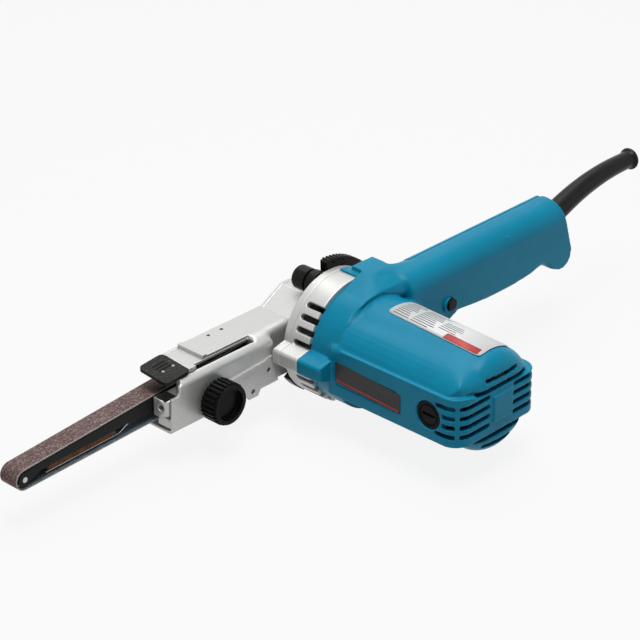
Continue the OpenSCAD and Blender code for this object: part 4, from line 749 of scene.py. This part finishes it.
place("ratingLabel",
      barrelPatch(labelY, label["turn"], label["lift"], label["thick"], label["corner"], label["steps"]),
      "labelFilm", "motor_body", ["rating_label"])
inkLift = label["lift"] + label["thick"] + label["inkGap"]
rulings = {
    # columns: front end, rear end, angle of the first line, count
    "columns": ((71.5, 61.0, 98.0, 10), (59.5, 45.0, 98.0, 10), (43.5, 30.0, 90.0, 5)),
    "step": 3.6, "half": 0.5, "corner": 0.0, "steps": 2}
lines = []
for column, (front, rear, first, count) in enumerate(rulings["columns"]):
    for k in range(count):
        turn = first - rulings["step"] * k
        short = (k * 5 + column * 3) % 4  # uneven line ends
        turns = (turn - rulings["half"], turn + rulings["half"])
        lines.append(barrelPatch((rear + short, front), turns, inkLift, label["inkThick"], rulings["corner"],
                                 rulings["steps"]))
place("labelRulings", joined(lines), "labelInk", "motor_body")
bar = {"ends": (12.5, 36.0), "turns": (92.0, 101.0), "corner": 0.6, "steps": 12}
place("labelBar",
      barrelPatch(bar["ends"], bar["turns"], inkLift, label["inkThick"], bar["corner"], bar["steps"]),
      "labelRed", "motor_body")
print("plates made")


# small trim

button = {"ribInner": 3.9, "ribOuter": 5.3, "ribProud": 1.3, "ribEnd": 0.15, "sink": 0.4, "bevel": 0.3,
          "from": 95.0, "to": 265.0, "proud": 2.5, "steps": 28}


def crescent():
    # raised rib round the motor side of the lock-on button
    low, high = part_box("lock_button")
    cx, cz = (low.x + high.x) / 2 / mm, (low.z + high.z) / 2 / mm
    gripFace = low.y / mm + button["proud"]
    outer, inner = [], []
    for k in range(button["steps"] + 1):
        part = k / button["steps"]
        turn = math.radians(button["from"] + (button["to"] - button["from"]) * part)
        swell = math.sin(math.pi * part)
        rIn = button["ribInner"]
        rOut = rIn + button["ribEnd"] + (button["ribOuter"] - rIn) * swell
        outer.append((cx + rOut * math.cos(turn), cz + rOut * math.sin(turn)))
        inner.append((cx + rIn * math.cos(turn), cz + rIn * math.sin(turn)))
    return slab(outer + inner[::-1], "y", gripFace - button["ribProud"], gripFace + button["sink"],
                button["bevel"])


place("buttonRib", crescent(), "bluePlastic", "motor_body")

# black sheet on top of the tension slide: painted shade of the dark hollow under the tab, not a real pad
slideShade = {"top": 0.5, "from": 0.8, "to": 8.5, "side": 0.9, "thick": 0.25, "sink": 0.1, "bevel": 0.1}
low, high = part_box("tension_slide")
shadeX = (low.x / mm + slideShade["from"], low.x / mm + slideShade["to"])
shadeY = (low.y / mm + slideShade["side"], high.y / mm - slideShade["side"])
shadeOutline = [(shadeX[0], shadeY[0]), (shadeX[1], shadeY[0]), (shadeX[1], shadeY[1]), (shadeX[0], shadeY[1])]
place("slideTopShade", slab(shadeOutline, "z", slideShade["top"] - slideShade["sink"], slideShade["top"] + slideShade["thick"], slideShade["bevel"]),
      "blackPlastic", "belt_carriage", smooth=False)

rivets = {"at": ((6.5, 9.0), (13.5, 9.0)), "radius": 0.8, "sides": 20, "sink": 0.2, "proud": 0.12,
          "bevel": 0.06}
tabTop = tabHigh.z / mm
dots = []
for dx, dy in rivets["at"]:
    x, y = tabLow.x / mm + dx, tabLow.y / mm + dy
    ring = [(x + rivets["radius"] * math.cos(turn), y + rivets["radius"] * math.sin(turn))
            for turn in np.linspace(0, 2 * math.pi, rivets["sides"], endpoint=False)]
    dots.append(slab(ring, "z", tabTop - rivets["sink"], tabTop + rivets["proud"], rivets["bevel"]))
place("tabRivets", leaned(joined(dots)), "paleDot", "belt_carriage")
print("trim made")


# finishes of the solids that stay as they are

plainFinish = {
    "steel": ["grip_screws", "housing_screws", "brush_springs", "armature_shaft", "rear_bearing",
              "front_bearing", "drive_pulley", "pulley_nut", "swivel_clip", "side_cover_screws",
              "tension_spring", "tracking_stud", "nose_roller", "nose_pin", "platen_spring", "trigger_spring",
              "cord_clamp_screws"],
    # the side plate's screws are dark as painted shade of their holes
    "darkSteelAndHoleShade": ["top_plate_screws", "side_plate_screws"],
    "brass": ["brush_holders"],
    "carbon": ["carbon_brushes"],
    "laminations": ["armature_core", "stator_core"],
    "copper": ["armature_windings", "commutator", "field_coils"],
    "blackPlastic": ["cooling_fan", "air_baffle", "switch_body", "cord_clamp"],
    "platenCork": ["platen_pad"],
}
for look, names in plainFinish.items():
    for name in names:
        for holder in nodes[name].material_slots:
            holder.material = finish[look]
print("solids finished")


# floor, light and camera

def seenRay(tree):
    # 1 for rays that show the background: straight, mirrored or through glass
    path = addNode(tree, "ShaderNodeLightPath")
    total = path.outputs["Is Camera Ray"]
    for label in ("Is Glossy Ray", "Is Transmission Ray"):
        most = addNode(tree, "ShaderNodeMath", operation="MAXIMUM")
        link(tree, total, most.inputs[0])
        link(tree, path.outputs[label], most.inputs[1])
        total = most.outputs[0]
    return total


floorLook = {"size": 6.0, "drop": 0.4, "grey": 0.6, "seen": 0.88}


def stageMaterial():
    # pale floor that shows as near white to the camera and still takes a soft shadow
    material = bpy.data.materials.new("paleFloor")
    material.use_nodes = True
    tree = material.node_tree
    tree.nodes.clear()
    result = addNode(tree, "ShaderNodeOutputMaterial")
    diffuse = addNode(tree, "ShaderNodeBsdfDiffuse")
    diffuse.inputs["Color"].default_value = (*[floorLook["grey"]] * 3, 1)
    glow = addNode(tree, "ShaderNodeEmission")
    glow.inputs["Strength"].default_value = 1.0
    share = addNode(tree, "ShaderNodeMath", operation="MULTIPLY")
    share.inputs[1].default_value = floorLook["seen"]
    blend = addNode(tree, "ShaderNodeMixShader")
    link(tree, seenRay(tree), share.inputs[0])
    link(tree, share.outputs[0], blend.inputs[0])
    link(tree, diffuse.outputs[0], blend.inputs[1])
    link(tree, glow.outputs[0], blend.inputs[2])
    link(tree, blend.outputs[0], result.inputs[0])
    return material


floorZ = cadBox[0].z - floorLook["drop"] * mm
half = floorLook["size"] / 2
floorMesh = meshFrom("floor", [(-half, -half, floorZ), (half, -half, floorZ), (half, half, floorZ),
                               (-half, half, floorZ)], [(0, 1, 2, 3)])
floor = bpy.data.objects.new("floor", floorMesh)
scene.collection.objects.link(floor)
floorMesh.materials.append(stageMaterial())

studio = {"light": 0.08, "seen": 1.0}  # strength on the object, and as background
world = bpy.data.worlds.new("studio")
scene.world = world
world.use_nodes = True
tree = world.node_tree
sky = tree.nodes["Background"]
sky.inputs["Color"].default_value = (1, 1, 1, 1)
link(tree, mapped(tree, seenRay(tree), 0.0, 1.0, studio["light"], studio["seen"]), sky.inputs["Strength"])

lamps = {
    # place, aim, size, watts
    "keySoftbox": ((-0.2, -0.12, 1.35), (0, 0.09, 0), 0.75, 15.0),
    "topSoftbox": ((0.35, 0.55, 1.25), (0, 0.09, 0), 1.0, 7.5),
    "fillCard": ((0.7, -1.1, 0.5), (0, 0.09, 0), 0.9, 1.2),
}
for name, (at, aim, size, watts) in lamps.items():
    data = bpy.data.lights.new(name, "AREA")
    data.size = size
    data.energy = watts
    lamp = bpy.data.objects.new(name, data)
    lamp.location = at
    lamp.rotation_mode = "QUATERNION"
    lamp.rotation_quaternion = (Vector(aim) - Vector(at)).to_track_quat("-Z", "Y")
    scene.collection.objects.link(lamp)

view = {"turn": 46.3, "tilt": 27.88, "roll": 0.144, "focal": 2680.0, "distance": 1422.0,
        "aim": (0.0, 121.0, 0.0), "aimPixel": (329.22, 327.72), "frame": 640.0, "sensor": 36.0,
        "farthest": 20.0}
turn, tilt, roll = (math.radians(view[key]) for key in ("turn", "tilt", "roll"))
right = Vector((math.cos(turn), -math.sin(turn), 0))
away = Vector((math.sin(turn), math.cos(turn), 0))
ahead = away * math.cos(tilt) - Vector((0, 0, 1)) * math.sin(tilt)
up = away * math.sin(tilt) + Vector((0, 0, 1)) * math.cos(tilt)
perPixel = view["distance"] / view["focal"]
shiftX, shiftY = ((pixel - view["frame"] / 2) * perPixel for pixel in view["aimPixel"])
spot = Vector(view["aim"]) - ahead * view["distance"] - right * shiftX + up * shiftY
cameraData = bpy.data.cameras.new("photoCamera")
cameraData.sensor_width = view["sensor"]
cameraData.lens = view["focal"] / view["frame"] * view["sensor"]
cameraData.clip_end = view["farthest"]
camera = bpy.data.objects.new("photoCamera", cameraData)
right, up = right * math.cos(roll) - up * math.sin(roll), right * math.sin(roll) + up * math.cos(roll)
camera.matrix_world = Matrix.Translation(spot * mm) @ Matrix((right, up, -ahead)).transposed().to_4x4()
scene.collection.objects.link(camera)
scene.camera = camera
scene.view_settings.view_transform = "Standard"
print("stage set")
